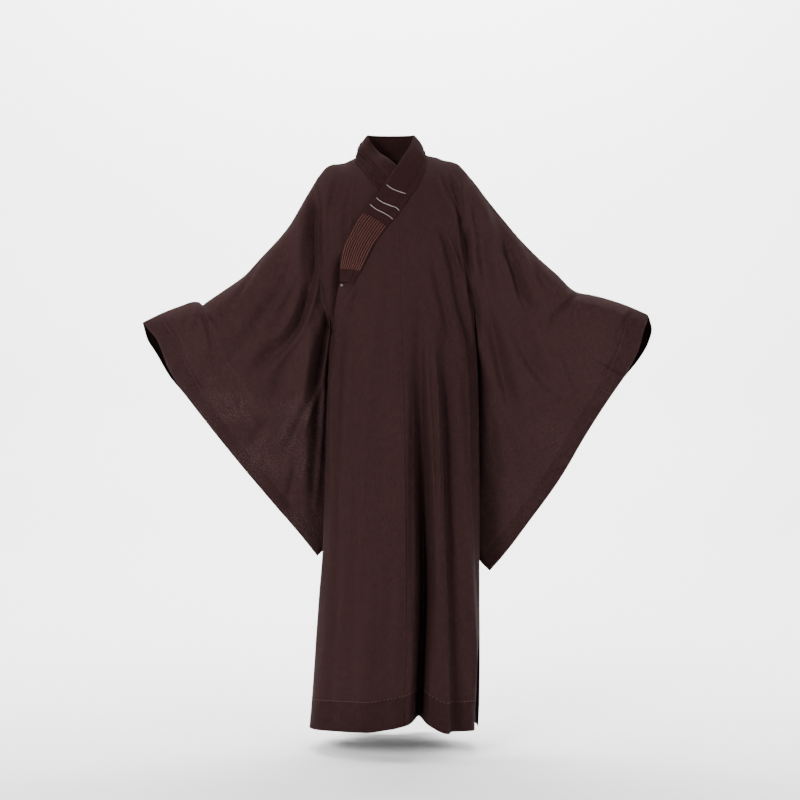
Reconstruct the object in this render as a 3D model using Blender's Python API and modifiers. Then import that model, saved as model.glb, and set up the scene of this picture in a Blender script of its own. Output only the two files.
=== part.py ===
"""Full-length crossed-collar ceremonial robe with wide sleeves, worn pose, hollow.

Frame: metres, +Z up, the front faces -Y, +X is the robe's own left.
Origin: between the shoulders at the base of the neck, where the robe rests.
Every cloth panel is an open sheet worked out from the tables below and given
its wall by a Solidify modifier.
"""
import math
from collections import namedtuple

import bmesh
import bpy
import numpy as np

# ---------------------------------------------------------------- sizes (m)
WALL = 0.0020            # cloth wall of the panels
BAND_WALL = 0.0024       # collar band, several layers stitched together
PATCH_WALL = 0.0012      # stitched patch on the band
GAP = 0.0003             # space left between two pieces at a seam
OVER_LIFT = 0.0060       # over panel lies this far outside the under panel
SHOULDER_FALL = 0.135    # height over which the shoulders round to full depth
SIDE_POWER = 0.85        # 1 = ellipse, less = boxier section
SIDE_Y = 0.010           # y of the side seams and the shoulder ridge
ARMPIT_Z = -0.430        # lower end of the armholes
SLIT_TOP_Z = -1.030      # upper end of the side slits
OVER_CORNER_Z = -0.300   # the over panel's upper edge at the robe's right
UNDER_EDGE_X = 0.018     # front edge of the under panel
NECK_CORNER_GAP = 0.0014 # shoulder seam opens this much each side at the neck
HEM_FRONT_Z = -1.337
HEM_SIDE_Z = -1.356
HEM_BACK_Z = -1.345
BUTTON_R = 0.0034

# Horizontal sections of the body: half extents measured from x = 0.
Section = namedtuple("Section", "z left right front back")
SECTIONS = [
    Section(-1.400, -0.198, 0.200, 0.192, 0.202),
    Section(-1.300, -0.189, 0.205, 0.186, 0.195),
    Section(-1.110, -0.176, 0.208, 0.168, 0.175),
    Section(-0.930, -0.164, 0.2075, 0.153, 0.155),
    Section(-0.784, -0.159, 0.2075, 0.145, 0.138),
    Section(-0.490, -0.148, 0.2025, 0.124, 0.112),
    Section(-0.430, -0.142, 0.199, 0.120, 0.108),
    Section(-0.335, -0.182, 0.212, 0.120, 0.106),
    Section(-0.250, -0.215, 0.215, 0.122, 0.106),
    Section(-0.150, -0.232, 0.232, 0.118, 0.102),
    Section(-0.050, -0.235, 0.235, 0.105, 0.090),
    Section(0.050, -0.235, 0.235, 0.095, 0.080),
]
# Armhole edges, seen from the front.
Arm = namedtuple("Arm", "z left right")
ARMHOLES = [
    Arm(-0.430, -0.142, 0.199),
    Arm(-0.335, -0.162, 0.190),
    Arm(-0.250, -0.180, 0.1714),
    Arm(-0.150, -0.1826, 0.165),
    Arm(-0.080, -0.182, 0.165),
    Arm(0.000, -0.170, 0.168),
]
# Shoulder ridge over the body (top line seen from the front).
Ridge = namedtuple("Ridge", "x z")
RIDGE = [
    Ridge(-0.203, -0.077), Ridge(-0.179, -0.041), Ridge(-0.154, -0.0147),
    Ridge(-0.110, -0.0037), Ridge(-0.083, 0.0092), Ridge(-0.005, 0.030),
    Ridge(0.0744, 0.0092), Ridge(0.119, -0.002), Ridge(0.153, -0.0096),
    Ridge(0.1676, -0.021), Ridge(0.194, -0.0506), Ridge(0.224, -0.092),
]
# Cut edges under the collar band: left front with over panel, under panel, back.
Edge = namedtuple("Edge", "x z")
OVER_NECK = [
    Edge(-0.260, OVER_CORNER_Z), Edge(-0.100, OVER_CORNER_Z + 0.001),
    Edge(-0.079, -0.264), Edge(-0.052, -0.210), Edge(-0.0136, -0.156),
    Edge(0.0308, -0.0955), Edge(0.0516, -0.0643), Edge(0.066, -0.030),
    Edge(0.0744, 0.0092),
]
UNDER_NECK = [
    Edge(-0.083, 0.0092), Edge(-0.061, -0.027), Edge(-0.043, -0.055),
    Edge(-0.025, -0.074), Edge(0.005, -0.108), Edge(0.030, -0.136),
]
FREE_EDGE = [Edge(-0.1395, -0.430), Edge(-0.1340, -0.364), Edge(-0.1215, -0.290)]
BACK_NECK = [
    Edge(-0.083, 0.0092), Edge(-0.050, 0.004), Edge(-0.005, 0.001),
    Edge(0.045, 0.004), Edge(0.0744, 0.0092),
]
# Centre-front seam and the deep fold to the robe's left of it.
Fold = namedtuple("Fold", "z seam_x fold_x half_width depth")
FRONT_FOLD = [
    Fold(-1.400, 0.024, 0.0580, 0.0115, 0.085),
    Fold(-1.270, 0.028, 0.0620, 0.0115, 0.090),
    Fold(-1.149, 0.032, 0.0680, 0.0115, 0.085),
    Fold(-0.986, 0.034, 0.0745, 0.0120, 0.068),
    Fold(-0.800, 0.032, 0.0720, 0.0140, 0.038),
    Fold(-0.643, 0.029, 0.0680, 0.0165, 0.018),
    Fold(-0.470, 0.024, 0.0640, 0.0170, 0.008),
    Fold(-0.300, 0.019, 0.0600, 0.0160, 0.002),
    Fold(-0.100, 0.014, 0.0452, 0.0127, 0.000),
]
# Soft creases of the body. depth > 0 stands out, < 0 sinks in.
Crease = namedtuple("Crease", "x_top z_top x_low z_low half_width depth grow")
FRONT_CREASES = [
    Crease(0.096, -0.440, 0.112, -1.360, 0.017, 0.012, 1.6),
    Crease(0.122, -0.300, 0.150, -1.360, 0.015, -0.012, 1.6),
    Crease(0.150, -0.420, 0.182, -1.360, 0.015, 0.008, 1.4),
    Crease(-0.030, -0.700, -0.060, -1.360, 0.040, -0.007, 1.0),
    Crease(-0.110, -0.560, -0.140, -1.360, 0.028, -0.009, 1.5),
]
BACK_CREASES = [
    Crease(-0.110, -0.300, -0.135, -1.360, 0.026, -0.016, 1.8),
    Crease(-0.055, -0.340, -0.070, -1.360, 0.028, 0.014, 1.8),
    Crease(0.005, -0.260, 0.000, -1.360, 0.026, -0.018, 1.8),
    Crease(0.070, -0.340, 0.080, -1.360, 0.028, 0.014, 1.8),
    Crease(0.125, -0.300, 0.150, -1.360, 0.026, -0.016, 1.8),
]

# Sleeves, each with four edges seen from the front: share is the part of the
# edge's length from its first end. y is the depth of the edge.
Point = namedtuple("Point", "x y z")
RIGHT_SLEEVE = dict(
    top=[Point(-0.212, 0.012, -0.095), Point(-0.249, 0.010, -0.158),
         Point(-0.319, 0.004, -0.238), Point(-0.355, 0.000, -0.277),
         Point(-0.403, -0.006, -0.312), Point(-0.453, -0.012, -0.347),
         Point(-0.470, -0.014, -0.343), Point(-0.506, -0.018, -0.350),
         Point(-0.549, -0.022, -0.367), Point(-0.595, -0.025, -0.390)],
    cuff_front=[Point(-0.578, -0.045, -0.408), Point(-0.557, -0.056, -0.432),
                Point(-0.531, -0.050, -0.498), Point(-0.4995, -0.012, -0.557)],
    cuff_back=[Point(-0.594, -0.002, -0.405), Point(-0.590, 0.010, -0.425),
               Point(-0.568, 0.014, -0.462), Point(-0.534, 0.006, -0.518),
               Point(-0.4995, -0.012, -0.557)],
    outer=[Point(-0.432, -0.002, -0.645), Point(-0.359, 0.012, -0.737),
           Point(-0.286, 0.026, -0.825), Point(-0.212, 0.038, -0.913),
           Point(-0.183, 0.044, -0.951)],
    bottom=[Point(-0.150, 0.056, -0.526), Point(-0.151, 0.072, -0.646),
            Point(-0.152, 0.076, -0.765), Point(-0.156, 0.070, -0.861),
            Point(-0.166, 0.056, -0.932), Point(-0.183, 0.044, -0.951)],
)
LEFT_SLEEVE = dict(
    top=[Point(0.194, 0.012, -0.051), Point(0.224, 0.011, -0.092),
         Point(0.269, 0.009, -0.148), Point(0.306, 0.005, -0.192),
         Point(0.344, 0.001, -0.231), Point(0.389, -0.005, -0.272),
         Point(0.440, -0.012, -0.317), Point(0.476, -0.014, -0.324),
         Point(0.546, -0.021, -0.345), Point(0.606, -0.025, -0.371)],
    cuff_front=[Point(0.602, -0.045, -0.388), Point(0.595, -0.056, -0.402),
                Point(0.581, -0.050, -0.455), Point(0.553, -0.012, -0.518)],
    cuff_back=[Point(0.615, -0.004, -0.386), Point(0.621, 0.010, -0.406),
               Point(0.614, 0.014, -0.434), Point(0.590, 0.006, -0.475),
               Point(0.553, -0.012, -0.518)],
    outer=[Point(0.519, -0.002, -0.568), Point(0.463, 0.010, -0.657),
           Point(0.403, 0.020, -0.761), Point(0.328, 0.032, -0.867),
           Point(0.269, 0.040, -0.946), Point(0.2336, 0.044, -0.987)],
    bottom=[Point(0.203, 0.056, -0.526), Point(0.200, 0.072, -0.646),
            Point(0.199, 0.076, -0.765), Point(0.199, 0.072, -0.861),
            Point(0.208, 0.056, -0.957), Point(0.2336, 0.044, -0.987)],
)
# Half the space between the two layers of a sleeve at its fullest.
SLEEVE_FULL = 0.030
SLEEVE_CAP = 0.055       # distance below the top line where it is fullest
SLEEVE_EDGE = 0.0060     # least half space, just inside the sewn edges
# Swags and hanging folds of the sleeves, x mirrored for the robe's left.
Swag = namedtuple("Swag", "x0 z0 x1 z1 x2 z2 half_width depth")
SLEEVE_SWAGS = [
    Swag(-0.190, -0.130, -0.225, -0.360, -0.345, -0.560, 0.022, -0.012),
    Swag(-0.200, -0.260, -0.235, -0.480, -0.300, -0.610, 0.020, -0.010),
    Swag(-0.250, -0.190, -0.285, -0.300, -0.340, -0.400, 0.020, -0.009),
    Swag(-0.185, -0.420, -0.200, -0.650, -0.210, -0.850, 0.018, 0.010),
]

# Collar band: its lower (sewn) edge and upper (free) edge, and the depth of
# the stations that stand off the panels round the neck.
Band = namedtuple("Band", "low_x low_z free_x free_y free_z")
NECK_BAND = [  # from the robe's left side round the back to the right side
    Band(0.0650, 0.0020, 0.0450, 0.042, 0.0640),
    Band(0.0370, -0.0060, 0.0250, 0.061, 0.0660),
    Band(-0.0050, -0.0085, -0.0050, 0.067, 0.0665),
    Band(-0.0460, -0.0060, -0.0350, 0.061, 0.0660),
    Band(-0.0740, 0.0020, -0.0550, 0.042, 0.0640),
]
# Where the band passes the shoulder ridge at the side of the neck.
Side = namedtuple("Side", "low_x low_y low_z free_x free_y free_z")
LEFT_OF_NECK = [Side(0.0870, -0.0510, -0.0120, 0.0460, -0.0280, 0.0400),
                Side(0.0815, 0.0120, 0.0145, 0.0500, 0.0100, 0.0600)]
RIGHT_OF_NECK = [Side(-0.0910, 0.0120, 0.0125, -0.0600, 0.0100, 0.0600),
                 Side(-0.0920, -0.0340, -0.0020, -0.0550, -0.0220, 0.0420)]
Over = namedtuple("Over", "low_x low_z free_x free_z")
OVER_BAND = [  # lies on the panels, from the armpit corner up to the neck
    Over(-0.0890, -0.3000, -0.1200, -0.2980),
    Over(-0.0810, -0.2840, -0.1200, -0.2660),
    Over(-0.0702, -0.2685, -0.1180, -0.2420),
    Over(-0.0582, -0.2438, -0.1110, -0.2100),
    Over(-0.0433, -0.2144, -0.0990, -0.1850),
    Over(-0.0257, -0.1877, -0.0840, -0.1570),
    Over(-0.0048, -0.1610, -0.0620, -0.1290),
    Over(0.0158, -0.1370, -0.0430, -0.1070),
    Over(0.0396, -0.1003, -0.0160, -0.0680),
    Over(0.0604, -0.0691, 0.0110, -0.0260),
]
UNDER_BAND = [  # lies on the under panel, from the neck to below the crossing
    Over(-0.0683, -0.0345, -0.0330, 0.0130),
    Over(-0.0500, -0.0620, -0.0110, -0.0060),
    Over(-0.0320, -0.0810, 0.0110, -0.0260),
    Over(-0.0016, -0.1154, 0.0420, -0.0620),
]
BAND_CLEAR = 0.0016      # band above the panel that it lies on
BAND_STEPS = 50
PATCH_FROM, PATCH_TO = 0.034, 0.203   # shares of the band under the patch
BUTTON_X = -0.1150

# Grid steps.
UPPER_STEPS = [0, 0.0016, 0.02, 0.055, 0.11, 0.19, 0.29, 0.41, 0.54, 0.67,
               0.79, 0.90, 1.0]
SKIRT_STEPS = 9
SLEEVE_STEPS = [0, 0.05, 0.14, 0.25, 0.36, 0.47, 0.58, 0.69, 0.80, 0.90, 0.97,
                1.0]
CUFF_SHARE = 0.28        # share of the outer edge that the cuff opening takes

COLOURS = dict(
    cloth=((0.043, 0.024, 0.024, 1.0), 0.85),
    sleeve=((0.040, 0.022, 0.023, 1.0), 0.85),
    under=((0.038, 0.021, 0.021, 1.0), 0.85),
    band=((0.036, 0.020, 0.020, 1.0), 0.80),
    patch=((0.060, 0.026, 0.024, 1.0), 0.80),
    button=((0.420, 0.330, 0.290, 1.0), 0.55),
)


# ------------------------------------------------------------ small helpers
def smooth(t):
    t = np.clip(t, 0.0, 1.0)
    return t * t * (3 - 2 * t)


def spline(x, xs, ys):
    """Smooth curve through (xs, ys) without overshoot, xs rising."""
    xs, ys = np.asarray(xs, float), np.asarray(ys, float)
    h, d = np.diff(xs), np.diff(ys) / np.diff(xs)
    m = np.empty_like(ys)
    m[0], m[-1] = d[0], d[-1]
    both = d[:-1] * d[1:] > 0
    w1, w2 = 2 * h[1:] + h[:-1], h[1:] + 2 * h[:-1]
    safe0, safe1 = np.where(both, d[:-1], 1.0), np.where(both, d[1:], 1.0)
    m[1:-1] = np.where(both, (w1 + w2) / (w1 / safe0 + w2 / safe1), 0.0)
    x = np.clip(np.asarray(x, float), xs[0], xs[-1])
    i = np.clip(np.searchsorted(xs, x, side="right") - 1, 0, len(h) - 1)
    t = (x - xs[i]) / h[i]
    return ((2 * t**3 - 3 * t**2 + 1) * ys[i] + (t**3 - 2 * t**2 + t) * h[i] * m[i]
            + (3 * t**2 - 2 * t**3) * ys[i + 1] + (t**3 - t**2) * h[i] * m[i + 1])


def column(table, key, by, value):
    rows = sorted(table, key=lambda row: getattr(row, by))
    return spline(value, [getattr(r, by) for r in rows],
                  [getattr(r, key) for r in rows])


def along(points, share):
    """Point on a smooth line through the points at a share of its length."""
    pts = np.asarray(points, float)
    step = np.linalg.norm(np.diff(pts, axis=0), axis=1)
    at = np.concatenate([[0], np.cumsum(step)]) / step.sum()
    share = np.asarray(share, float)
    return np.stack([spline(share, at, pts[:, k]) for k in range(3)], axis=-1)


# ------------------------------------------------------------ body surface
def centre(z):
    left, right = column(SECTIONS, "left", "z", z), column(SECTIONS, "right", "z", z)
    return (left + right) / 2, (right - left) / 2


def angle_at(x, z):
    """Angle round the body, 0 at the robe's right side, pi at the left."""
    middle, half = centre(z)
    return np.arccos(np.clip((middle - x) / half, -1, 1))


def base(theta, z):
    middle, half = centre(z)
    x = middle - half * np.cos(theta)
    fall = column(RIDGE, "z", "x", x) - z
    share = np.clip(fall / SHOULDER_FALL, 0, 1)
    rounding = np.sqrt(np.clip(1 - (1 - share) ** 2, 0, 1))
    front, back = column(SECTIONS, "front", "z", z), column(SECTIONS, "back", "z", z)
    s = np.sin(theta)
    depth = np.where(s >= 0, -front, back) * np.abs(s) ** SIDE_POWER
    return np.stack([x, SIDE_Y + depth * rounding, z + 0 * x], axis=-1)


def outward(theta, z):
    d = 1.5e-3
    across = base(theta + d, z) - base(theta - d, z)
    up = base(theta, z + d) - base(theta, z - d)
    n = np.cross(across, up)
    return n / np.maximum(np.linalg.norm(n, axis=-1, keepdims=True), 1e-9)


def crease_field(table, x, z):
    total = np.zeros_like(x)
    for c in table:
        share = np.clip((c.z_top - z) / (c.z_top - c.z_low), 0, 1)
        path = c.x_top + (c.x_low - c.x_top) * share
        strength = smooth((c.z_top - z) / 0.25) * (1 + (c.grow - 1) * share)
        total += c.depth * strength * np.exp(-((x - path) / (c.half_width * (1 + 0.4 * share))) ** 2)
    return total


def deep_fold(x, z):
    path = column(FRONT_FOLD, "fold_x", "z", z)
    width = column(FRONT_FOLD, "half_width", "z", z)
    depth = column(FRONT_FOLD, "depth", "z", z)
    return -depth * np.exp(-((x - path) / width) ** 2)


def body(theta, z, lift=0.0):
    theta, z = np.broadcast_arrays(np.asarray(theta, float), np.asarray(z, float))
    p, n = base(theta, z), outward(theta, z)
    s = np.sin(theta)
    edge = smooth(np.abs(s) / 0.30)
    move = np.where(s >= 0, crease_field(FRONT_CREASES, p[..., 0], z),
                    crease_field(BACK_CREASES, p[..., 0], z)) * edge
    q = p + n * (move + lift)[..., None]
    q[..., 1] -= np.where(s >= 0, deep_fold(p[..., 0], z), 0.0) * edge
    return q


def over_lift(theta):
    """The over panel's lift: whole at the front, none at the left side seam."""
    return OVER_LIFT * (1 - smooth((theta - 1.55) / 1.1))


def arm_angle(z, side):
    """Angle of the armhole edge, or of the side seam below it."""
    edge = column(ARMHOLES, side, "z", z)
    out = angle_at(edge, z)
    below = 0.0 if side == "left" else math.pi
    return np.where(z > ARMPIT_Z + 1e-9, out, below)


def slit(z, widest):
    return widest * smooth((SLIT_TOP_Z - z) / 0.28)


def solve_top(angle_of, top_of):
    """Height where a column of the grid meets the panel's top edge."""
    high, low = 0.030, ARMPIT_Z
    for _ in range(48):
        mid = (high + low) / 2
        middle, half = centre(mid)
        x = middle - half * math.cos(float(angle_of(np.array(mid))))
        if mid > float(top_of(x)):
            high = mid
        else:
            low = mid
    return (high + low) / 2


def hem_z(theta):
    s = np.sin(theta)
    return HEM_SIDE_Z + np.where(s >= 0, HEM_FRONT_Z - HEM_SIDE_Z, HEM_BACK_Z - HEM_SIDE_Z) * np.abs(s)


def panel(angles, top_of, lift_of, upper=UPPER_STEPS, skirt=SKIRT_STEPS, join=ARMPIT_Z):
    """Grid of points, one column for each function in angles."""
    columns = []
    for angle_of in angles:
        top = solve_top(angle_of, top_of)
        steps = np.array(upper)
        middle, half = centre(top)
        x_top = middle - half * math.cos(float(angle_of(np.array(top))))
        if (top < float(column(RIDGE, "z", "x", x_top)) - 0.001
                or UNDER_NECK[0].x - 0.001 < x_top < OVER_NECK[-1].x + 0.001):
            steps[1] = 0.009             # the shortest step is only for the shoulder ridge
        zs = [top + (join - top) * u for u in steps]
        hem = float(hem_z(angle_of(np.array(HEM_FRONT_Z))))
        zs += [join + (hem - join) * (k + 1) / skirt for k in range(skirt)]
        z = np.array(zs)
        theta = np.array([float(angle_of(np.array(v))) for v in zs])
        columns.append(body(theta, z, lift_of(theta, z)))
    return np.stack(columns)          # [column, row, xyz]


def blend_angle(first, last, share):
    return lambda z: first(z) + (last(z) - first(z)) * share


def through(shares, first, last, corner, face=1):
    """The shares with the nearest one moved so that its column meets the neck corner."""
    z = np.array(corner.z)
    at = (face * float(angle_at(corner.x, z)) - float(first(z))) / float(last(z) - first(z))
    shares = list(shares)
    nearest = min(range(1, len(shares) - 1), key=lambda k: abs(shares[k] - at))
    shares[nearest] = at
    return shares


# ------------------------------------------------------------ object making
def new_collection(name):
    made = bpy.data.collections.new(name)
    bpy.context.scene.collection.children.link(made)
    return made


def material(name):
    (colour, rough) = COLOURS[name]
    made = bpy.data.materials.get(name) or bpy.data.materials.new(name)
    made.use_nodes = True
    shader = made.node_tree.nodes["Principled BSDF"]
    shader.inputs["Base Color"].default_value = colour
    shader.inputs["Roughness"].default_value = rough
    shader.inputs["Metallic"].default_value = 0.0
    made.diffuse_color = colour
    return made


def sheet(name, grids, colour, wall, robe, inward=True):
    """Joins grids of points into one sheet, turned to face out, and gives it a wall."""
    work = bmesh.new()
    for grid, flip in grids:
        verts = [[work.verts.new(p) for p in row] for row in grid]
        for i, (a, b) in enumerate(zip(verts, verts[1:])):
            for k in range(len(a) - 1):
                faces = [(a[k], b[k], b[k + 1], a[k + 1])]
                if i == len(verts) - 2 and k == len(a) - 2:    # corner keeps its thickness
                    faces = [(a[k], b[k], b[k + 1]), (a[k], b[k + 1], a[k + 1])]
                for face in faces:
                    work.faces.new(face[::-1] if flip else face)
    bmesh.ops.remove_doubles(work, verts=work.verts, dist=2e-5)
    bmesh.ops.dissolve_degenerate(work, edges=work.edges, dist=1e-6)
    mesh = bpy.data.meshes.new(name)
    work.to_mesh(mesh)
    work.free()
    mesh.materials.append(material(colour))
    obj = bpy.data.objects.new(name, mesh)
    robe.objects.link(obj)
    solid = obj.modifiers.new("wall", "SOLIDIFY")
    solid.thickness = wall
    solid.offset = -1.0 if inward else 1.0
    solid.use_even_offset = False
    mesh.shade_smooth()
    mesh.set_sharp_from_angle(angle=math.radians(50))
    return obj


# ------------------------------------------------------------ body panels
def seam_angle(z):
    return angle_at(column(FRONT_FOLD, "seam_x", "z", z), z)


def fold_angle(k):
    def at(z):
        x = column(FRONT_FOLD, "fold_x", "z", z) + k * column(FRONT_FOLD, "half_width", "z", z)
        return angle_at(x, z)
    return at


def left_edge(z):
    return arm_angle(z, "right") - slit(z, 0.38)


def right_edge(z):
    return arm_angle(z, "left") + slit(z, 0.12)


def free_edge(z):
    """The over panel's own side edge, clear of the sleeve, and past the side below it."""
    above = angle_at(column(FREE_EDGE, "x", "z", z), z)
    below = 0.172 - 0.05 * smooth((ARMPIT_Z - z) / 0.08) - 0.17 * smooth((-0.95 - z) / 0.18)
    return np.where(z > ARMPIT_Z, above, below)


def make_body(robe):
    over = lambda theta, z: over_lift(theta) + 0 * z
    flat = lambda theta, z: 0 * theta
    ridge = lambda x: column(RIDGE, "z", "x", x)
    neck = lambda x: (column(OVER_NECK, "z", "x", x) if x < OVER_NECK[-1].x else ridge(x))
    under_neck = lambda x: (column(UNDER_NECK, "z", "x", x) if x > UNDER_NECK[0].x else ridge(x))
    back_neck = lambda x: (column(BACK_NECK, "z", "x", x)
                           if BACK_NECK[0].x < x < BACK_NECK[-1].x else ridge(x))

    # robe's left front: seam, deep fold, then round to the side
    last = fold_angle(2.3)
    angles = [seam_angle] + [fold_angle(k) for k in (-1.9, -0.95, 0.0, 0.95, 1.6)] + [last]
    angles += [blend_angle(last, left_edge, s) for s in (0.18, 0.36, 0.54, 0.71, 0.87, 0.975, 1.0)]
    left = panel(angles, neck, over)
    left[0, :, 0] += GAP
    left[-1, :, 1] -= GAP * 0.7
    left[-1, :-SKIRT_STEPS - 1, 0] -= GAP
    left = ridge_gap(left, -1)
    sheet("front_left", [(left, True)], "cloth", WALL, robe)

    # over panel: from its free edge at the robe's right to the same seam
    angles = [blend_angle(free_edge, seam_angle, s)
              for s in (0.0, 0.07, 0.17, 0.30, 0.44, 0.58, 0.72, 0.86, 0.985, 1.0)]
    # below the corner the seam column keeps the left front's heights
    grid = panel(angles, neck, over)
    grid[-1, :, 0] -= GAP
    sheet("front_overlap", [(grid, True)], "cloth", WALL, robe)

    # robe's right front, under the over panel
    inner = lambda z: angle_at(np.full_like(z, UNDER_EDGE_X), z)
    shares = through((0.0, 0.02, 0.12, 0.25, 0.38, 0.52, 0.67, 0.83, 1.0),
                     right_edge, inner, UNDER_NECK[0])
    angles = [blend_angle(right_edge, inner, s) for s in shares]
    under = lambda theta, z: under_lift(z) * smooth((theta - arm_angle(z, "left")) / 0.45)
    grid = panel(angles, under_neck, under)
    grid[0, :, 1] -= GAP * 0.7
    grid[0, :-SKIRT_STEPS - 1, 0] += GAP
    grid = ridge_gap(grid, -1)
    sheet("front_right", [(grid, True)], "under", WALL, robe)

    # back
    start = lambda z: -arm_angle(z, "left")
    end = lambda z: -arm_angle(z, "right")
    shares = (0.0, 0.010, 0.07, 0.15, 0.23, 0.31, 0.39, 0.46, 0.54, 0.61, 0.69, 0.77, 0.85, 0.93, 0.990, 1.0)
    for corner in (BACK_NECK[0], BACK_NECK[-1]):
        shares = through(shares, start, end, corner, -1)
    grid = panel([blend_angle(start, end, s) for s in shares], back_neck, flat)
    grid[0, :, 1] += GAP * 0.7
    grid[-1, :, 1] += GAP * 0.7
    grid[0, :-SKIRT_STEPS - 1, 0] += GAP
    grid[-1, :-SKIRT_STEPS - 1, 0] -= GAP
    grid = ridge_gap(grid, 1)
    sheet("back", [(grid, False)], "cloth", WALL, robe)


def ridge_gap(grid, direction):
    """Moves top points that lie on the shoulder ridge off the seam."""
    top = grid[:, 0, :]
    on_ridge = np.abs(top[:, 1] - SIDE_Y) < 0.002
    top[on_ridge, 1] = SIDE_Y + direction * GAP * 0.7
    for corner in (OVER_NECK[-1], UNDER_NECK[0]):       # the neck corners, under the band
        at = np.hypot(top[:, 0] - corner.x, top[:, 2] - corner.z) < 0.002
        top[at, 1] = SIDE_Y + direction * NECK_CORNER_GAP
    return grid


# ------------------------------------------------------------ sleeves
def armhole_loop(side, face, shares):
    """Edge of the armhole from the ridge to the armpit, front (1) or back (-1)."""
    angle = lambda z: face * arm_angle(z, side)
    ridge = lambda x: column(RIDGE, "z", "x", x)
    top = solve_top(lambda z: arm_angle(z, side), ridge)
    z = top + (ARMPIT_Z - top) * np.asarray(shares)
    theta = np.array([float(angle(np.array(v))) for v in z])
    return body(theta, z)


def sleeve_sheet(table, side, face, ps, qs):
    """One layer of a sleeve. p runs from the armhole to the cuff, q from the top line down."""
    sign = 1.0 if side == "right" else -1.0
    inner = armhole_loop(side, face, qs)
    inner[..., 0] += sign * (GAP + 0.0009 * np.exp(-qs / 0.03)[:, None][:, 0])
    shoulder, armpit = inner[0], inner[-1]
    cuff_top = np.array(table["top"][-1])
    armhole_qs, qs = qs, qs.copy()
    qs[1] = 0.007                        # the shortest step is only for the armhole
    top = along([shoulder] + list(table["top"]), ps)
    bottom = along([armpit] + list(table["bottom"]), ps)
    cuff = along([cuff_top] + list(table["cuff_front" if face > 0 else "cuff_back"]),
                 np.clip(qs / CUFF_SHARE, 0, 1))
    closed = along([table["cuff_front"][-1]] + list(table["outer"]),
                   np.clip((qs - CUFF_SHARE) / (1 - CUFF_SHARE), 0, 1))
    outer = np.where((qs < CUFF_SHARE)[:, None], cuff, closed)
    p, q = ps[:, None, None], qs[None, :, None]
    patch = ((1 - q) * top[:, None] + q * bottom[:, None]
             + (1 - p) * inner[None] + p * outer[None]
             - ((1 - p) * (1 - q) * shoulder + (1 - p) * q * armpit
                + p * (1 - q) * outer[0] + p * q * outer[-1]))
    # fullness between the layers
    p, q = p[..., 0], q[..., 0]
    length = np.linalg.norm(top - bottom, axis=1)[:, None]
    cap = SLEEVE_CAP / length
    rise = np.sqrt(np.clip(1 - (1 - np.clip(q / cap, 0, 1)) ** 2, 0, 1))
    taper = 1 - 0.62 * smooth((q - cap) / (1 - cap))
    middle = np.clip(4 * p * (1 - p), 0, 1) ** 0.5
    bulge = SLEEVE_FULL * rise * taper * middle * np.clip((1 - q) / 0.12, 0, 1) ** 0.5
    seam = SLEEVE_EDGE * np.clip(q / cap, 0, 1) * np.where(q < CUFF_SHARE, 1 - p**8, 1.0)
    inside = np.where((q < 1 - 1e-9) & (p > 1e-9)
                      & ((p < 1 - 1e-9) | (q < CUFF_SHARE - 1e-9)), 1.0, 0.0)
    out = bulge + seam * inside * np.clip(p / 0.10, 0, 1)
    creases = swag_field(patch[..., 0] * (-sign), patch[..., 2])
    calm = smooth(p / 0.12) * smooth(q / 0.10) * smooth((1 - q) / 0.15) * smooth((1 - p) / 0.15)
    patch[..., 1] -= face * (out + creases * calm)
    return patch


def swag_field(x, z):
    total = np.zeros_like(x)
    for s in SLEEVE_SWAGS:
        best = np.full_like(x, 1.0)
        where = np.zeros_like(x)
        for t in np.linspace(0, 1, 41):
            px = (1 - t) ** 2 * s.x0 + 2 * t * (1 - t) * s.x1 + t * t * s.x2
            pz = (1 - t) ** 2 * s.z0 + 2 * t * (1 - t) * s.z1 + t * t * s.z2
            d = np.hypot(x - px, z - pz)
            near = d < best
            best, where = np.where(near, d, best), np.where(near, t, where)
        ends = smooth(where / 0.25) * smooth((1 - where) / 0.3)
        total += s.depth * ends * np.exp(-(best / s.half_width) ** 2)
    return total


def make_sleeve(name, table, side, robe):
    ps = np.array(SLEEVE_STEPS)
    qs = np.array(sorted(set(UPPER_STEPS) | {CUFF_SHARE}))
    front = sleeve_sheet(table, side, 1, ps, qs)
    back = sleeve_sheet(table, side, -1, ps, qs)
    # the layers share the top line, the bottom edge and the sewn outer edge
    for i in range(1, len(ps)):
        for k in (0, -1):
            mid = (front[i, k] + back[i, k]) / 2
            front[i, k] = back[i, k] = mid
    for k in range(len(qs)):
        if qs[k] >= CUFF_SHARE - 1e-9:
            front[-1, k] = back[-1, k] = (front[-1, k] + back[-1, k]) / 2
    for k in (0, -1):
        front[0, k] = back[0, k] = (front[0, k] + back[0, k]) / 2
    right = side == "right"
    sheet(name, [(front, right), (back, not right)], "sleeve", WALL, robe)


# ------------------------------------------------------------ collar
def on_body(x, z, lift):
    return body(angle_at(x, z), z, lift)


def under_lift(z):
    """The under panel sinks behind the over panel below the neck."""
    return -0.0060 * smooth((-0.03 - z) / 0.10)


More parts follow.
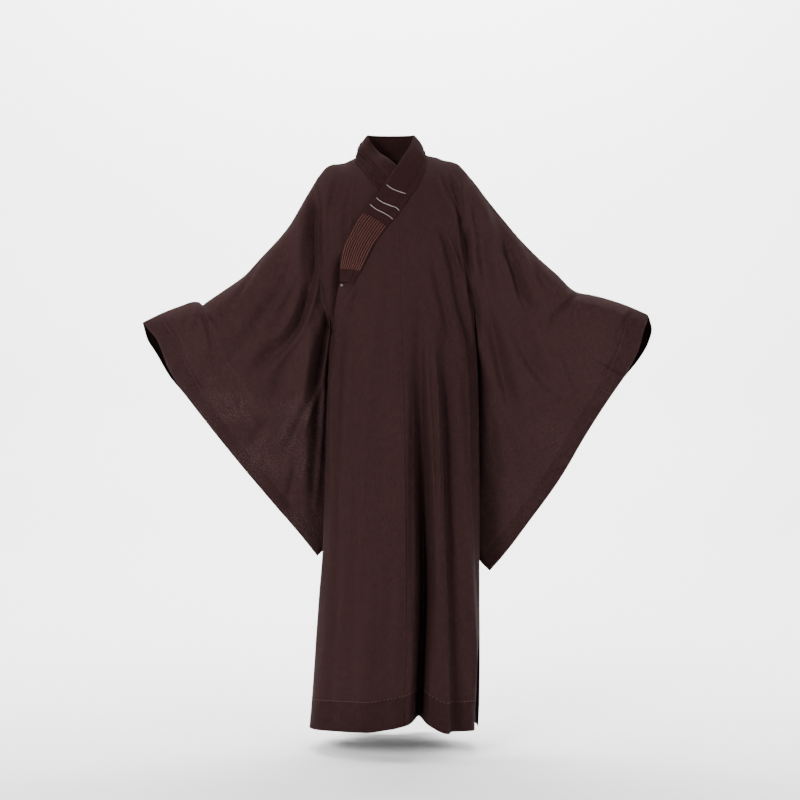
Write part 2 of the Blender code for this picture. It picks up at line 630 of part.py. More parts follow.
def band_stations(across):
    """Stations of the whole band, from the armpit corner to the under end: [station, across]."""
    rows = []

    def laid(row, face, lift_of):
        x = row.low_x + (row.free_x - row.low_x) * across
        z = row.low_z + (row.free_z - row.low_z) * across
        rows.append(body(face * angle_at(x, z), z, lift_of(z)))

    def standing(low, free):
        low, free = np.array(low, float), np.array(free, float)
        middle = (low + free) / 2 - np.array([-0.005, SIDE_Y, 0.02])
        middle[2] = 0.0
        out = middle / np.linalg.norm(middle)
        crown = 0.0025 * np.sin(math.pi * across)
        rows.append(low + (free - low) * across[:, None] + out * crown[:, None])

    for row in OVER_BAND:
        laid(row, 1, lambda z: OVER_LIFT + BAND_CLEAR + 0 * z)
    for row in LEFT_OF_NECK:
        standing(row[:3], row[3:])
    for row in NECK_BAND:
        x, z = np.array(row.low_x), np.array(row.low_z)
        standing(body(-angle_at(x, z), z, BAND_CLEAR), [row.free_x, row.free_y, row.free_z])
    for row in RIGHT_OF_NECK:
        standing(row[:3], row[3:])
    for row in UNDER_BAND:
        laid(row, 1, lambda z: under_lift(z) + BAND_CLEAR)
    return np.array(rows)


def band_grid(shares, across):
    """The band as a grid; share 0 is the armpit corner, 1 the hidden under end."""
    rows = band_stations(across)
    return np.stack([along(rows[:, k], shares) for k in range(len(across))], axis=1)


def make_collar(robe):
    grid = band_grid(np.linspace(0, 1, BAND_STEPS), np.linspace(0, 1, 5))
    sheet("collar", [(grid, False)], "band", BAND_WALL, robe, inward=False)
    # patch: the band's own points, moved out by its wall
    over = band_grid(np.linspace(PATCH_FROM, PATCH_TO, 16), np.linspace(0.07, 0.93, 5))
    normal = np.cross(np.gradient(over, axis=0), np.gradient(over, axis=1))
    normal /= np.linalg.norm(normal, axis=-1, keepdims=True)
    if normal[..., 1].mean() > 0:
        normal = -normal
    over = over + normal * (BAND_WALL + 2 * GAP)
    sheet("collar_patch", [(over, False)], "patch", PATCH_WALL, robe, inward=False)


def make_button(robe):
    z = np.array(OVER_CORNER_Z - 0.0045)
    theta = angle_at(BUTTON_X, z)
    at = body(theta, z, OVER_LIFT + BUTTON_R + GAP)
    bpy.ops.mesh.primitive_uv_sphere_add(segments=16, ring_count=10, radius=BUTTON_R,
                                         location=tuple(at))
    ball = bpy.context.object
    ball.name = ball.data.name = "button"
    for other in list(ball.users_collection):
        other.objects.unlink(ball)
    robe.objects.link(ball)
    ball.data.materials.append(material("button"))
    ball.data.shade_smooth()


# ------------------------------------------------------------ main
def main():
    for old in list(bpy.data.objects):
        bpy.data.objects.remove(old, do_unlink=True)
    robe = new_collection("monk_robe")
    make_body(robe)
    make_sleeve("sleeve_right", RIGHT_SLEEVE, "left", robe)
    make_sleeve("sleeve_left", LEFT_SLEEVE, "right", robe)
    make_collar(robe)
    make_button(robe)


main()
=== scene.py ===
import math
from collections import namedtuple

import bmesh
import bpy
import numpy as np
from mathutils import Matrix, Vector


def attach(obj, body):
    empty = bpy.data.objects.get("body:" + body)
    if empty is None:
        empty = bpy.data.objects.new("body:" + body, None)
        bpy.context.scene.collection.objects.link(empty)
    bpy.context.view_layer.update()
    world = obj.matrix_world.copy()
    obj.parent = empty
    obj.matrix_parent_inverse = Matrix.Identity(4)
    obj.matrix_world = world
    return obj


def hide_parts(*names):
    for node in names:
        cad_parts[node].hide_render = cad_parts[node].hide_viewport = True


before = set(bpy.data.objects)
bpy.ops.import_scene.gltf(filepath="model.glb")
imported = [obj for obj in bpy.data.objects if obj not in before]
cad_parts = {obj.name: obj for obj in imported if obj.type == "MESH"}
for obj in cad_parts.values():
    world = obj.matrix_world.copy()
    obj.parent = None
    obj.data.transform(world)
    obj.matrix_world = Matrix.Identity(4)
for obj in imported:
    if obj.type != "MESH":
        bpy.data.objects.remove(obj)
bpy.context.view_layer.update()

# Looks of the robe: every panel is made again as a fine, thin shell on the same
# sections as its solid, with the creases, stitching and weave added.

# ---------------------------------------------------------------- sizes (m)
WALL = 0.0020            # cloth wall of the panels
BAND_WALL = 0.0024       # collar band, several layers stitched together
PATCH_WALL = 0.0012      # stitched patch on the band
GAP = 0.0003             # space left between two pieces at a seam
OVER_LIFT = 0.0060       # over panel lies this far outside the under panel
SHOULDER_FALL = 0.135    # height over which the shoulders round to full depth
SIDE_POWER = 0.85        # 1 = ellipse, less = boxier section
SIDE_Y = 0.010           # y of the side seams and the shoulder ridge
ARMPIT_Z = -0.430        # lower end of the armholes
SLIT_TOP_Z = -1.030      # upper end of the side slits
OVER_CORNER_Z = -0.300   # the over panel's upper edge at the robe's right
UNDER_EDGE_X = 0.018     # front edge of the under panel
NECK_CORNER_GAP = 0.0014 # shoulder seam opens this much each side at the neck
HEM_FRONT_Z = -1.337
HEM_SIDE_Z = -1.356
HEM_BACK_Z = -1.345
BUTTON_R = 0.0034

# Horizontal sections of the body: half extents measured from x = 0.
Section = namedtuple("Section", "z left right front back")
SECTIONS = [
    Section(-1.400, -0.198, 0.200, 0.192, 0.202),
    Section(-1.300, -0.189, 0.205, 0.186, 0.195),
    Section(-1.110, -0.176, 0.208, 0.168, 0.175),
    Section(-0.930, -0.164, 0.2075, 0.153, 0.155),
    Section(-0.784, -0.159, 0.2075, 0.145, 0.138),
    Section(-0.490, -0.148, 0.2025, 0.124, 0.112),
    Section(-0.430, -0.142, 0.199, 0.120, 0.108),
    Section(-0.335, -0.182, 0.212, 0.120, 0.106),
    Section(-0.250, -0.215, 0.215, 0.122, 0.106),
    Section(-0.150, -0.232, 0.232, 0.118, 0.102),
    Section(-0.050, -0.235, 0.235, 0.105, 0.090),
    Section(0.050, -0.235, 0.235, 0.095, 0.080),
]
# Armhole edges, seen from the front.
Arm = namedtuple("Arm", "z left right")
ARMHOLES = [
    Arm(-0.430, -0.142, 0.199),
    Arm(-0.335, -0.162, 0.190),
    Arm(-0.250, -0.180, 0.1714),
    Arm(-0.150, -0.1826, 0.165),
    Arm(-0.080, -0.182, 0.165),
    Arm(0.000, -0.170, 0.168),
]
# Shoulder ridge over the body (top line seen from the front).
Ridge = namedtuple("Ridge", "x z")
RIDGE = [
    Ridge(-0.203, -0.077), Ridge(-0.179, -0.041), Ridge(-0.154, -0.0147),
    Ridge(-0.110, -0.0037), Ridge(-0.083, 0.0092), Ridge(-0.005, 0.030),
    Ridge(0.0744, 0.0092), Ridge(0.119, -0.002), Ridge(0.153, -0.0096),
    Ridge(0.1676, -0.021), Ridge(0.194, -0.0506), Ridge(0.224, -0.092),
]
# Cut edges under the collar band: left front with over panel, under panel, back.
Edge = namedtuple("Edge", "x z")
OVER_NECK = [
    Edge(-0.260, OVER_CORNER_Z), Edge(-0.100, OVER_CORNER_Z + 0.001),
    Edge(-0.079, -0.264), Edge(-0.052, -0.210), Edge(-0.0136, -0.156),
    Edge(0.0308, -0.0955), Edge(0.0516, -0.0643), Edge(0.066, -0.030),
    Edge(0.0744, 0.0092),
]
UNDER_NECK = [
    Edge(-0.083, 0.0092), Edge(-0.061, -0.027), Edge(-0.043, -0.055),
    Edge(-0.025, -0.074), Edge(0.005, -0.108), Edge(0.030, -0.136),
]
FREE_EDGE = [Edge(-0.1395, -0.430), Edge(-0.1340, -0.364), Edge(-0.1215, -0.290)]
BACK_NECK = [
    Edge(-0.083, 0.0092), Edge(-0.050, 0.004), Edge(-0.005, 0.001),
    Edge(0.045, 0.004), Edge(0.0744, 0.0092),
]
# Centre-front seam and the deep fold to the robe's left of it.
Fold = namedtuple("Fold", "z seam_x fold_x half_width depth")
FRONT_FOLD = [
    Fold(-1.400, 0.024, 0.0580, 0.0115, 0.085),
    Fold(-1.270, 0.028, 0.0620, 0.0115, 0.090),
    Fold(-1.149, 0.032, 0.0680, 0.0115, 0.085),
    Fold(-0.986, 0.034, 0.0745, 0.0120, 0.068),
    Fold(-0.800, 0.032, 0.0720, 0.0140, 0.038),
    Fold(-0.643, 0.029, 0.0680, 0.0165, 0.018),
    Fold(-0.470, 0.024, 0.0640, 0.0170, 0.008),
    Fold(-0.300, 0.019, 0.0600, 0.0160, 0.002),
    Fold(-0.100, 0.014, 0.0452, 0.0127, 0.000),
]
# Soft creases of the body. depth > 0 stands out, < 0 sinks in.
Crease = namedtuple("Crease", "x_top z_top x_low z_low half_width depth grow")
FRONT_CREASES = [
    Crease(0.096, -0.440, 0.112, -1.360, 0.017, 0.012, 1.6),
    Crease(0.122, -0.300, 0.150, -1.360, 0.015, -0.012, 1.6),
    Crease(0.150, -0.420, 0.182, -1.360, 0.015, 0.008, 1.4),
    Crease(-0.030, -0.700, -0.060, -1.360, 0.040, -0.007, 1.0),
    Crease(-0.110, -0.560, -0.140, -1.360, 0.028, -0.009, 1.5),
]
BACK_CREASES = [
    Crease(-0.110, -0.300, -0.135, -1.360, 0.026, -0.016, 1.8),
    Crease(-0.055, -0.340, -0.070, -1.360, 0.028, 0.014, 1.8),
    Crease(0.005, -0.260, 0.000, -1.360, 0.026, -0.018, 1.8),
    Crease(0.070, -0.340, 0.080, -1.360, 0.028, 0.014, 1.8),
    Crease(0.125, -0.300, 0.150, -1.360, 0.026, -0.016, 1.8),
]

# Sleeves, each with four edges seen from the front: share is the part of the
# edge's length from its first end. y is the depth of the edge.
Point = namedtuple("Point", "x y z")
RIGHT_SLEEVE = dict(
    top=[Point(-0.212, 0.012, -0.095), Point(-0.249, 0.010, -0.158),
         Point(-0.319, 0.004, -0.238), Point(-0.355, 0.000, -0.277),
         Point(-0.403, -0.006, -0.312), Point(-0.4460, -0.011, -0.3420),
         Point(-0.4535, -0.012, -0.3480), Point(-0.4610, -0.013, -0.3405),
         Point(-0.4720, -0.014, -0.3395), Point(-0.506, -0.018, -0.350),
         Point(-0.549, -0.022, -0.367), Point(-0.595, -0.025, -0.390)],
    cuff_front=[Point(-0.578, -0.045, -0.408), Point(-0.557, -0.056, -0.432),
                Point(-0.531, -0.050, -0.498), Point(-0.4995, -0.012, -0.557)],
    cuff_back=[Point(-0.594, -0.002, -0.405), Point(-0.590, 0.010, -0.425),
               Point(-0.568, 0.014, -0.462), Point(-0.534, 0.006, -0.518),
               Point(-0.4995, -0.012, -0.557)],
    outer=[Point(-0.432, -0.002, -0.645), Point(-0.359, 0.012, -0.737),
           Point(-0.286, 0.026, -0.825), Point(-0.212, 0.038, -0.913),
           Point(-0.183, 0.044, -0.951)],
    bottom=[Point(-0.150, 0.056, -0.526), Point(-0.151, 0.072, -0.646),
            Point(-0.152, 0.076, -0.765), Point(-0.156, 0.070, -0.861),
            Point(-0.166, 0.056, -0.932), Point(-0.183, 0.044, -0.951)],
)
LEFT_SLEEVE = dict(
    top=[Point(0.194, 0.012, -0.051), Point(0.224, 0.011, -0.092),
         Point(0.269, 0.009, -0.148), Point(0.306, 0.005, -0.192),
         Point(0.344, 0.001, -0.231), Point(0.389, -0.005, -0.272),
         Point(0.440, -0.012, -0.317), Point(0.476, -0.014, -0.324),
         Point(0.546, -0.021, -0.345), Point(0.606, -0.025, -0.371)],
    cuff_front=[Point(0.602, -0.045, -0.388), Point(0.595, -0.056, -0.402),
                Point(0.581, -0.050, -0.455), Point(0.553, -0.012, -0.518)],
    cuff_back=[Point(0.615, -0.004, -0.386), Point(0.621, 0.010, -0.406),
               Point(0.614, 0.014, -0.434), Point(0.590, 0.006, -0.475),
               Point(0.553, -0.012, -0.518)],
    outer=[Point(0.519, -0.002, -0.568), Point(0.463, 0.010, -0.657),
           Point(0.403, 0.020, -0.761), Point(0.328, 0.032, -0.867),
           Point(0.269, 0.040, -0.946), Point(0.2336, 0.044, -0.987)],
    bottom=[Point(0.203, 0.056, -0.526), Point(0.200, 0.072, -0.646),
            Point(0.199, 0.076, -0.765), Point(0.199, 0.072, -0.861),
            Point(0.208, 0.056, -0.957), Point(0.2336, 0.044, -0.987)],
)
# Half the space between the two layers of a sleeve at its fullest.
SLEEVE_FULL = 0.030
SLEEVE_CAP = 0.055       # distance below the top line where it is fullest
SLEEVE_EDGE = 0.0060     # least half space, just inside the sewn edges
# Swags and hanging folds of the sleeves, x mirrored for the robe's left.
Swag = namedtuple("Swag", "x0 z0 x1 z1 x2 z2 half_width depth")
SLEEVE_SWAGS = [
    Swag(-0.190, -0.130, -0.225, -0.360, -0.345, -0.560, 0.022, -0.012),
    Swag(-0.200, -0.260, -0.235, -0.480, -0.300, -0.610, 0.020, -0.010),
    Swag(-0.250, -0.190, -0.285, -0.300, -0.340, -0.400, 0.020, -0.009),
    Swag(-0.185, -0.420, -0.200, -0.650, -0.210, -0.850, 0.018, 0.010),
]

# Collar band: its lower (sewn) edge and upper (free) edge, and the depth of
# the stations that stand off the panels round the neck.
Band = namedtuple("Band", "low_x low_z free_x free_y free_z")
NECK_BAND = [  # from the robe's left side round the back to the right side
    Band(0.0650, 0.0020, 0.0450, 0.042, 0.0640),
    Band(0.0370, -0.0060, 0.0250, 0.061, 0.0660),
    Band(-0.0050, -0.0085, -0.0050, 0.067, 0.0665),
    Band(-0.0460, -0.0060, -0.0350, 0.061, 0.0660),
    Band(-0.0740, 0.0020, -0.0550, 0.042, 0.0640),
]
# Where the band passes the shoulder ridge at the side of the neck.
Side = namedtuple("Side", "low_x low_y low_z free_x free_y free_z")
LEFT_OF_NECK = [Side(0.0800, -0.0500, -0.0060, 0.0460, -0.0280, 0.0400),
                Side(0.0760, 0.0120, 0.0185, 0.0500, 0.0100, 0.0600)]
RIGHT_OF_NECK = [Side(-0.0910, 0.0120, 0.0125, -0.0600, 0.0100, 0.0600),
                 Side(-0.0920, -0.0340, -0.0020, -0.0550, -0.0220, 0.0420)]
Over = namedtuple("Over", "low_x low_z free_x free_z")
OVER_BAND = [  # lies on the panels, from the armpit corner up to the neck
    Over(-0.0890, -0.3000, -0.1200, -0.2980),
    Over(-0.0810, -0.2840, -0.1200, -0.2660),
    Over(-0.0702, -0.2685, -0.1180, -0.2420),
    Over(-0.0582, -0.2438, -0.1110, -0.2100),
    Over(-0.0433, -0.2144, -0.0990, -0.1850),
    Over(-0.0257, -0.1877, -0.0840, -0.1570),
    Over(-0.0048, -0.1610, -0.0620, -0.1290),
    Over(0.0158, -0.1370, -0.0430, -0.1070),
    Over(0.0396, -0.1003, -0.0160, -0.0680),
    Over(0.0604, -0.0691, 0.0110, -0.0260),
]
UNDER_BAND = [  # lies on the under panel, from the neck to below the crossing
    Over(-0.0683, -0.0345, -0.0330, 0.0130),
    Over(-0.0500, -0.0620, -0.0110, -0.0060),
    Over(-0.0320, -0.0810, 0.0110, -0.0260),
    Over(-0.0016, -0.1154, 0.0420, -0.0620),
]
BAND_CLEAR = 0.0016      # band above the panel that it lies on
BAND_STEPS = 50
PATCH_FROM, PATCH_TO = 0.034, 0.203   # shares of the band under the patch
BUTTON_X = -0.1150

CUFF_SHARE = 0.28


# ------------------------------------------------------------ small helpers
def smooth(t):
    t = np.clip(t, 0.0, 1.0)
    return t * t * (3 - 2 * t)


def spline(x, xs, ys):
    """Smooth curve through (xs, ys) without overshoot, xs rising."""
    xs, ys = np.asarray(xs, float), np.asarray(ys, float)
    h, d = np.diff(xs), np.diff(ys) / np.diff(xs)
    m = np.empty_like(ys)
    m[0], m[-1] = d[0], d[-1]
    both = d[:-1] * d[1:] > 0
    w1, w2 = 2 * h[1:] + h[:-1], h[1:] + 2 * h[:-1]
    safe0, safe1 = np.where(both, d[:-1], 1.0), np.where(both, d[1:], 1.0)
    m[1:-1] = np.where(both, (w1 + w2) / (w1 / safe0 + w2 / safe1), 0.0)
    x = np.clip(np.asarray(x, float), xs[0], xs[-1])
    i = np.clip(np.searchsorted(xs, x, side="right") - 1, 0, len(h) - 1)
    t = (x - xs[i]) / h[i]
    return ((2 * t**3 - 3 * t**2 + 1) * ys[i] + (t**3 - 2 * t**2 + t) * h[i] * m[i]
            + (3 * t**2 - 2 * t**3) * ys[i + 1] + (t**3 - t**2) * h[i] * m[i + 1])


def column(table, key, by, value):
    rows = sorted(table, key=lambda row: getattr(row, by))
    return spline(value, [getattr(r, by) for r in rows],
                  [getattr(r, key) for r in rows])


def along(points, share):
    """Point on a smooth line through the points at a share of its length."""
    pts = np.asarray(points, float)
    step = np.linalg.norm(np.diff(pts, axis=0), axis=1)
    at = np.concatenate([[0], np.cumsum(step)]) / step.sum()
    share = np.asarray(share, float)
    return np.stack([spline(share, at, pts[:, k]) for k in range(3)], axis=-1)


# ------------------------------------------------------------ folds and creases
# Every fold is a path as it is seen from the front, in steps of 2.39 mm from a
# corner outside the robe's right cuff, with its half width and depth in mm
# (depth < 0 sinks in). rim is how much cloth swells beside it, lean makes one
# side steeper, and the fades say over which share of the path each end dies away.
Pleat = namedtuple("Pleat", "path half depth rim lean fade_in fade_out",
                   defaults=(0.35, 0.0, 0.25, 0.35))


def spot(u, v, y=-0.10):
    """Where a point seen from the front at (u, v) lies when its depth is y."""
    k = (4.2 + y) / 1757
    return 0.017 + (u - 400) * k, -0.574 - (v - 400) * k


FRONT_PLEATS = [
    # short creases below the closing corner
    Pleat([(357, 281), (352, 287), (348, 296)], 2.6, -2.2, 0.5, 0.2, 0.1, 0.5),
    Pleat([(360, 287), (353, 302), (345, 324)], 5, -3.5, 0.5, 0.2, 0.2, 0.5),
    # from the robe's left shoulder
    Pleat([(437, 168), (449, 190), (459, 214), (463, 240)], 5, -6, 0.5, 0.2, 0.25, 0.3),
    Pleat([(447, 168), (457, 195), (463, 226), (467, 258)], 5, -7, 0.5, 0.2, 0.25, 0.3),
    Pleat([(462, 205), (465, 235), (469, 268), (475, 310)], 6.5, -27, 0.12, 0.0, 0.6, 0.3),
    Pleat([(436, 216), (446, 242), (457, 275), (466, 317), (475, 372)], 8, -9, 0.55, 0.35, 0.25, 0.4),
    Pleat([(426, 236), (434, 268), (444, 306), (456, 352), (462, 410)], 9, -5, 0.5, 0.3, 0.3, 0.4),
    Pleat([(455, 262), (464, 300), (476, 345)], 6, 5, 0.4, 0.0, 0.3, 0.4),
    # hanging folds of the robe's left half, beside the deep one
    Pleat([(419, 290), (421, 360), (423, 430), (425, 500), (426, 590), (426, 700)], 19, -25, 0.12, 0.62, 0.45, 0.5),
    Pleat([(430, 330), (433, 400), (435, 500), (438, 600)], 5, -6, 0.5, 0.2, 0.25, 0.7),
    Pleat([(443, 300), (447, 400), (451, 500), (457, 620), (463, 735)], 17, -11, 0.2, 0.2, 0.2, 0.6),
    Pleat([(468, 310), (473, 380), (476, 470), (479, 580), (481, 700)], 10, -10, 0.5, -0.2, 0.2, 0.6),
    Pleat([(455, 440), (461, 520), (467, 640), (472, 735)], 6, -4, 0.5, 0.2, 0.3, 0.2),
    Pleat([(430, 600), (432, 660), (435, 735)], 7, -4, 0.5, 0.0, 0.3, 0.1),
    Pleat([(412, 360), (412, 430), (412, 520), (412, 640)], 5, -2.5, 0.4, 0.3, 0.3, 0.4),
    # the broad smooth part of the over panel, with a few long soft hollows
    Pleat([(388, 250), (384, 330), (380, 430), (378, 540)], 20, -3.5, 0.3, 0.0, 0.3, 0.5),
    Pleat([(364, 300), (359, 380), (356, 480), (352, 600), (348, 735)], 14, -6, 0.4, 0.2, 0.25, 0.2),
    Pleat([(348, 292), (342, 340), (337, 420), (335, 520), (332, 640)], 8, -7, 0.45, -0.2, 0.2, 0.4),
    Pleat([(392, 500), (390, 580), (388, 650), (386, 735)], 17, -4.5, 0.3, 0.0, 0.4, 0.1),
    Pleat([(372, 540), (369, 630), (364, 735)], 14, 4, 0.2, 0.0, 0.4, 0.1),
    Pleat([(336, 560), (331, 650), (326, 735)], 10, -5, 0.4, 0.0, 0.3, 0.1),
    Pleat([(404, 600), (403, 670), (402, 735)], 9, -3, 0.4, 0.0, 0.4, 0.1),
    # robe's right shoulder
    Pleat([(316, 180), (317, 215), (317, 245), (320, 285)], 9, -14, 0.2, 0.0, 0.25, 0.4),
    Pleat([(338, 172), (331, 196), (327, 226), (328, 255)], 6, -4, 0.5, 0.2, 0.3, 0.4),
    Pleat([(352, 176), (347, 200), (345, 226), (343, 252)], 5, -3, 0.5, 0.2, 0.3, 0.4),
]
# Where the under panel falls away behind the over panel's own side edge.
UNDER_PLEATS = [
    Pleat([(343, 250), (340.5, 272), (338, 292), (334, 312), (330, 334)], 12, -36, 0.0, 0.0, 0.2, 0.3),
]
BACK_PLEATS = [
    Pleat([(322, 186), (330, 232), (336, 290), (338, 350)], 9, -6, 0.4, 0.1, 0.25, 0.4),
    Pleat([(460, 188), (455, 236), (450, 300), (449, 360)], 9, -6, 0.4, -0.1, 0.25, 0.4),
    Pleat([(350, 190), (354, 250), (352, 330), (348, 470)], 13, -4, 0.4, 0.2, 0.25, 0.4),
    Pleat([(430, 185), (428, 250), (432, 330), (436, 450)], 14, -4, 0.4, -0.2, 0.25, 0.4),
    Pleat([(391, 176), (392, 240), (393, 330), (392, 420)], 9, -3, 0.5, 0.0, 0.2, 0.4),
    Pleat([(346, 330), (343, 450), (338, 600), (334, 740)], 10, -7, 0.5, 0.2, 0.25, 0.1),
    Pleat([(368, 360), (366, 480), (363, 620), (360, 740)], 8, -6, 0.5, -0.2, 0.25, 0.1),
    Pleat([(384, 420), (383, 540), (381, 650), (380, 740)], 6, -4, 0.5, 0.1, 0.3, 0.1),
    Pleat([(408, 380), (410, 500), (413, 630), (415, 740)], 9, -7, 0.5, 0.1, 0.25, 0.1),
    Pleat([(428, 340), (432, 470), (437, 610), (441, 740)], 7, -5, 0.5, -0.2, 0.25, 0.1),
    Pleat([(448, 400), (453, 520), (460, 640), (466, 740)], 10, -7, 0.5, 0.2, 0.25, 0.1),
]
# Sleeve on the robe's right, as seen from the front.
RIGHT_FRONT_PLEATS = [
    Pleat([(317, 184), (316, 230), (314, 270), (304, 312), (284, 345), (254, 372), (228, 388)], 13, -20, 0.45, 0.25, 0.15, 0.45),
    Pleat([(330, 262), (326, 305), (320, 350), (309, 400), (290, 442), (266, 474)], 11, -14, 0.45, 0.2, 0.25, 0.45),
    Pleat([(298, 212), (293, 250), (282, 288), (262, 318), (240, 338)], 12, -8, 0.45, 0.3, 0.3, 0.4),
    Pleat([(322, 350), (318, 410), (312, 470), (310, 530)], 10, -9, 0.4, 0.2, 0.3, 0.4),
    Pleat([(262, 246), (252, 276), (236, 302), (218, 322)], 8, -6, 0.45, 0.2, 0.25, 0.4),
    Pleat([(270, 410), (254, 440), (240, 462)], 14, -5, 0.4, 0.0, 0.35, 0.4),
    Pleat([(300, 452), (288, 494), (282, 520)], 10, -5, 0.4, 0.0, 0.3, 0.4),
    # the deep hollow beside the body
    Pleat([(337, 276), (333, 300), (328, 322), (322, 348), (317, 378), (314, 412), (313, 456)], 11, -24, 0.15, 0.0, 0.2, 0.45),
    # creases that run out from the notch above the cuff
    Pleat([(203, 305), (207, 318), (212, 338), (216, 364)], 4.5, -6, 0.55, 0.2, 0.12, 0.5),
    Pleat([(203, 305), (199, 322), (197, 342)], 4, -4, 0.55, 0.2, 0.12, 0.5),
    Pleat([(205, 305), (216, 320), (230, 338)], 4, -4.5, 0.55, 0.2, 0.12, 0.5),
    Pleat([(205, 304), (222, 312), (240, 324)], 4, -4, 0.55, 0.2, 0.12, 0.5),
    Pleat([(190, 312), (186, 328), (190, 346)], 4, -2.5, 0.5, 0.2, 0.2, 0.4),
]
LEFT_FRONT_PLEATS = [
    Pleat([(463, 190), (466, 225), (470, 260), (478, 296), (485, 330), (494, 372)], 10, -12, 0.35, -0.2, 0.4, 0.45),
    Pleat([(470, 176), (476, 225), (484, 280), (494, 330), (504, 378), (520, 430)], 12, -9, 0.45, -0.25, 0.2, 0.45),
    Pleat([(484, 182), (498, 227), (512, 268), (522, 300), (540, 330)], 12, -14, 0.45, -0.35, 0.2, 0.4),
    Pleat([(500, 262), (508, 305), (522, 345), (548, 385), (580, 410)], 19, -14, 0.35, -0.25, 0.3, 0.4),
    Pleat([(490, 300), (498, 350), (509, 400), (526, 444)], 16, -8, 0.35, -0.2, 0.3, 0.45),
    Pleat([(578, 294), (566, 305), (552, 318), (545, 336)], 5, -8, 0.55, 0.2, 0.12, 0.4),
    Pleat([(578, 293), (572, 312), (572, 336)], 4, -4, 0.5, 0.0, 0.15, 0.5),
    Pleat([(584, 295), (592, 312), (596, 334)], 4, -3, 0.5, 0.0, 0.2, 0.5),
    Pleat([(633, 313), (622, 321), (616, 335), (612, 358)], 3.6, -6.5, 0.55, 0.15, 0.12, 0.4),
    Pleat([(646, 320), (634, 336), (628, 352)], 4, -2.5, 0.5, 0.1, 0.2, 0.4),
    Pleat([(520, 232), (528, 256), (540, 282), (556, 304)], 8, -6, 0.45, -0.2, 0.25, 0.4),
    Pleat([(492, 400), (496, 450), (500, 500)], 12, -4, 0.4, 0.0, 0.3, 0.3),
    Pleat([(560, 344), (570, 372), (586, 396)], 10, -5, 0.4, -0.2, 0.3, 0.4),
]
# The same kinds of folds on the sleeves' hidden back layers.
RIGHT_BACK_PLEATS = [
    Pleat([(312, 196), (310, 262), (298, 318), (262, 372), (232, 408)], 10, -11, 0.5, 0.2, 0.2, 0.4),
    Pleat([(318, 280), (314, 352), (300, 420), (286, 480)], 10, -9, 0.5, 0.2, 0.25, 0.4),
    Pleat([(280, 236), (268, 288), (250, 326)], 8, -7, 0.5, 0.2, 0.25, 0.4),
    Pleat([(204, 306), (210, 326), (218, 348)], 4, -4, 0.6, 0.2, 0.2, 0.5),
    Pleat([(204, 306), (224, 318), (242, 336)], 4, -3, 0.6, 0.2, 0.2, 0.5),
    Pleat([(322, 420), (316, 480), (316, 540)], 9, -6, 0.5, 0.0, 0.3, 0.3),
]
LEFT_BACK_PLEATS = [
    Pleat([(470, 200), (474, 262), (484, 318), (512, 372), (540, 404)], 10, -11, 0.5, 0.2, 0.2, 0.4),
    Pleat([(480, 280), (486, 352), (500, 420), (512, 470)], 10, -9, 0.5, 0.2, 0.25, 0.4),
    Pleat([(510, 226), (524, 270), (546, 312)], 8, -7, 0.5, 0.2, 0.25, 0.4),
    Pleat([(580, 295), (568, 312), (556, 332)], 4, -4, 0.6, 0.2, 0.2, 0.5),
    Pleat([(486, 420), (490, 480), (494, 540)], 9, -6, 0.5, 0.0, 0.3, 0.3),
]
PALE_LINES = [
    [(386.6, 184.5), (390.5, 187.6), (395, 190), (400.5, 192), (405.7, 193.5)],
    [(376.3, 197.7), (379.6, 200.6), (383.6, 203), (391.2, 206), (395.4, 207.3), (399.2, 210.7)],
    [(370.2, 204.2), (372.8, 206.8), (375.9, 209.2), (383.6, 213), (389.7, 216.8), (392.9, 219.5)],
]


def pleat_field(table, x, z, y):
    """How far the folds of a table move the cloth at the points (x, z)."""
    total = np.zeros(np.shape(x))
    for pleat in table:
        half, depth = pleat.half / 1000, pleat.depth / 1000
        turns = np.array([(*spot(u, v, y), 0.0) for u, v in pleat.path])
        line = along(turns, np.linspace(0, 1, 5 * len(turns)))[:, :2]
        low, high = line.min(axis=0) - 5 * half, line.max(axis=0) + 5 * half
        near = (x > low[0]) & (x < high[0]) & (z > low[1]) & (z < high[1])
        if not near.any():
            continue
        px, pz = x[near], z[near]
        best, where, side = np.full(px.shape, 9.0), np.zeros(px.shape), np.zeros(px.shape)
        for k, (a, b) in enumerate(zip(line, line[1:])):
            d = b - a
            t = np.clip(((px - a[0]) * d[0] + (pz - a[1]) * d[1]) / (d @ d), 0, 1)
            ox, oz = px - a[0] - t * d[0], pz - a[1] - t * d[1]
            far = np.hypot(ox, oz)
            closer = far < best
            best = np.where(closer, far, best)
            where = np.where(closer, (k + t) / (len(line) - 1), where)
            side = np.where(closer, np.sign(ox * d[1] - oz * d[0]), side)
        s = best / (half * (1 + pleat.lean * side))
        ends = smooth(where / pleat.fade_in) * smooth((1 - where) / pleat.fade_out)
        wide = 1 + 0.25 * np.sin(7 * where + depth * 900)
        s = s / wide
        total[near] += depth * ends * (np.exp(-s**2) - pleat.rim * np.exp(-((s - 2.0) / 0.95) ** 2))
    return total


def drift(x, z, seed, size=0.0012):
    """Slow unevenness of hanging cloth: long in z, short in x."""
    total = np.zeros(np.shape(x))
    for k in range(10):
        turn = 2 * math.pi * math.modf(0.618 * (k + 1) * seed)[0]
        fx = 2 * math.pi / (0.030 + 0.011 * k)
        fz = 2 * math.pi / (0.35 + 0.06 * ((k * 7) % 5))
        total += np.sin(fx * x + 1.1 * np.sin(fz * z + turn) + 2.3 * turn) * np.sin(fz * 0.6 * z + turn)
    return size * total / 3.2


# How far the hem rises beside the deep fold, in the same steps across, and mm.
HEM_RISE = [(370, 0), (385, 6), (395, 10), (405, 16), (412, 23), (418, 25), (425, 21), (432, 14), (440, 3),
            (450, -3), (460, -2), (470, 0)]


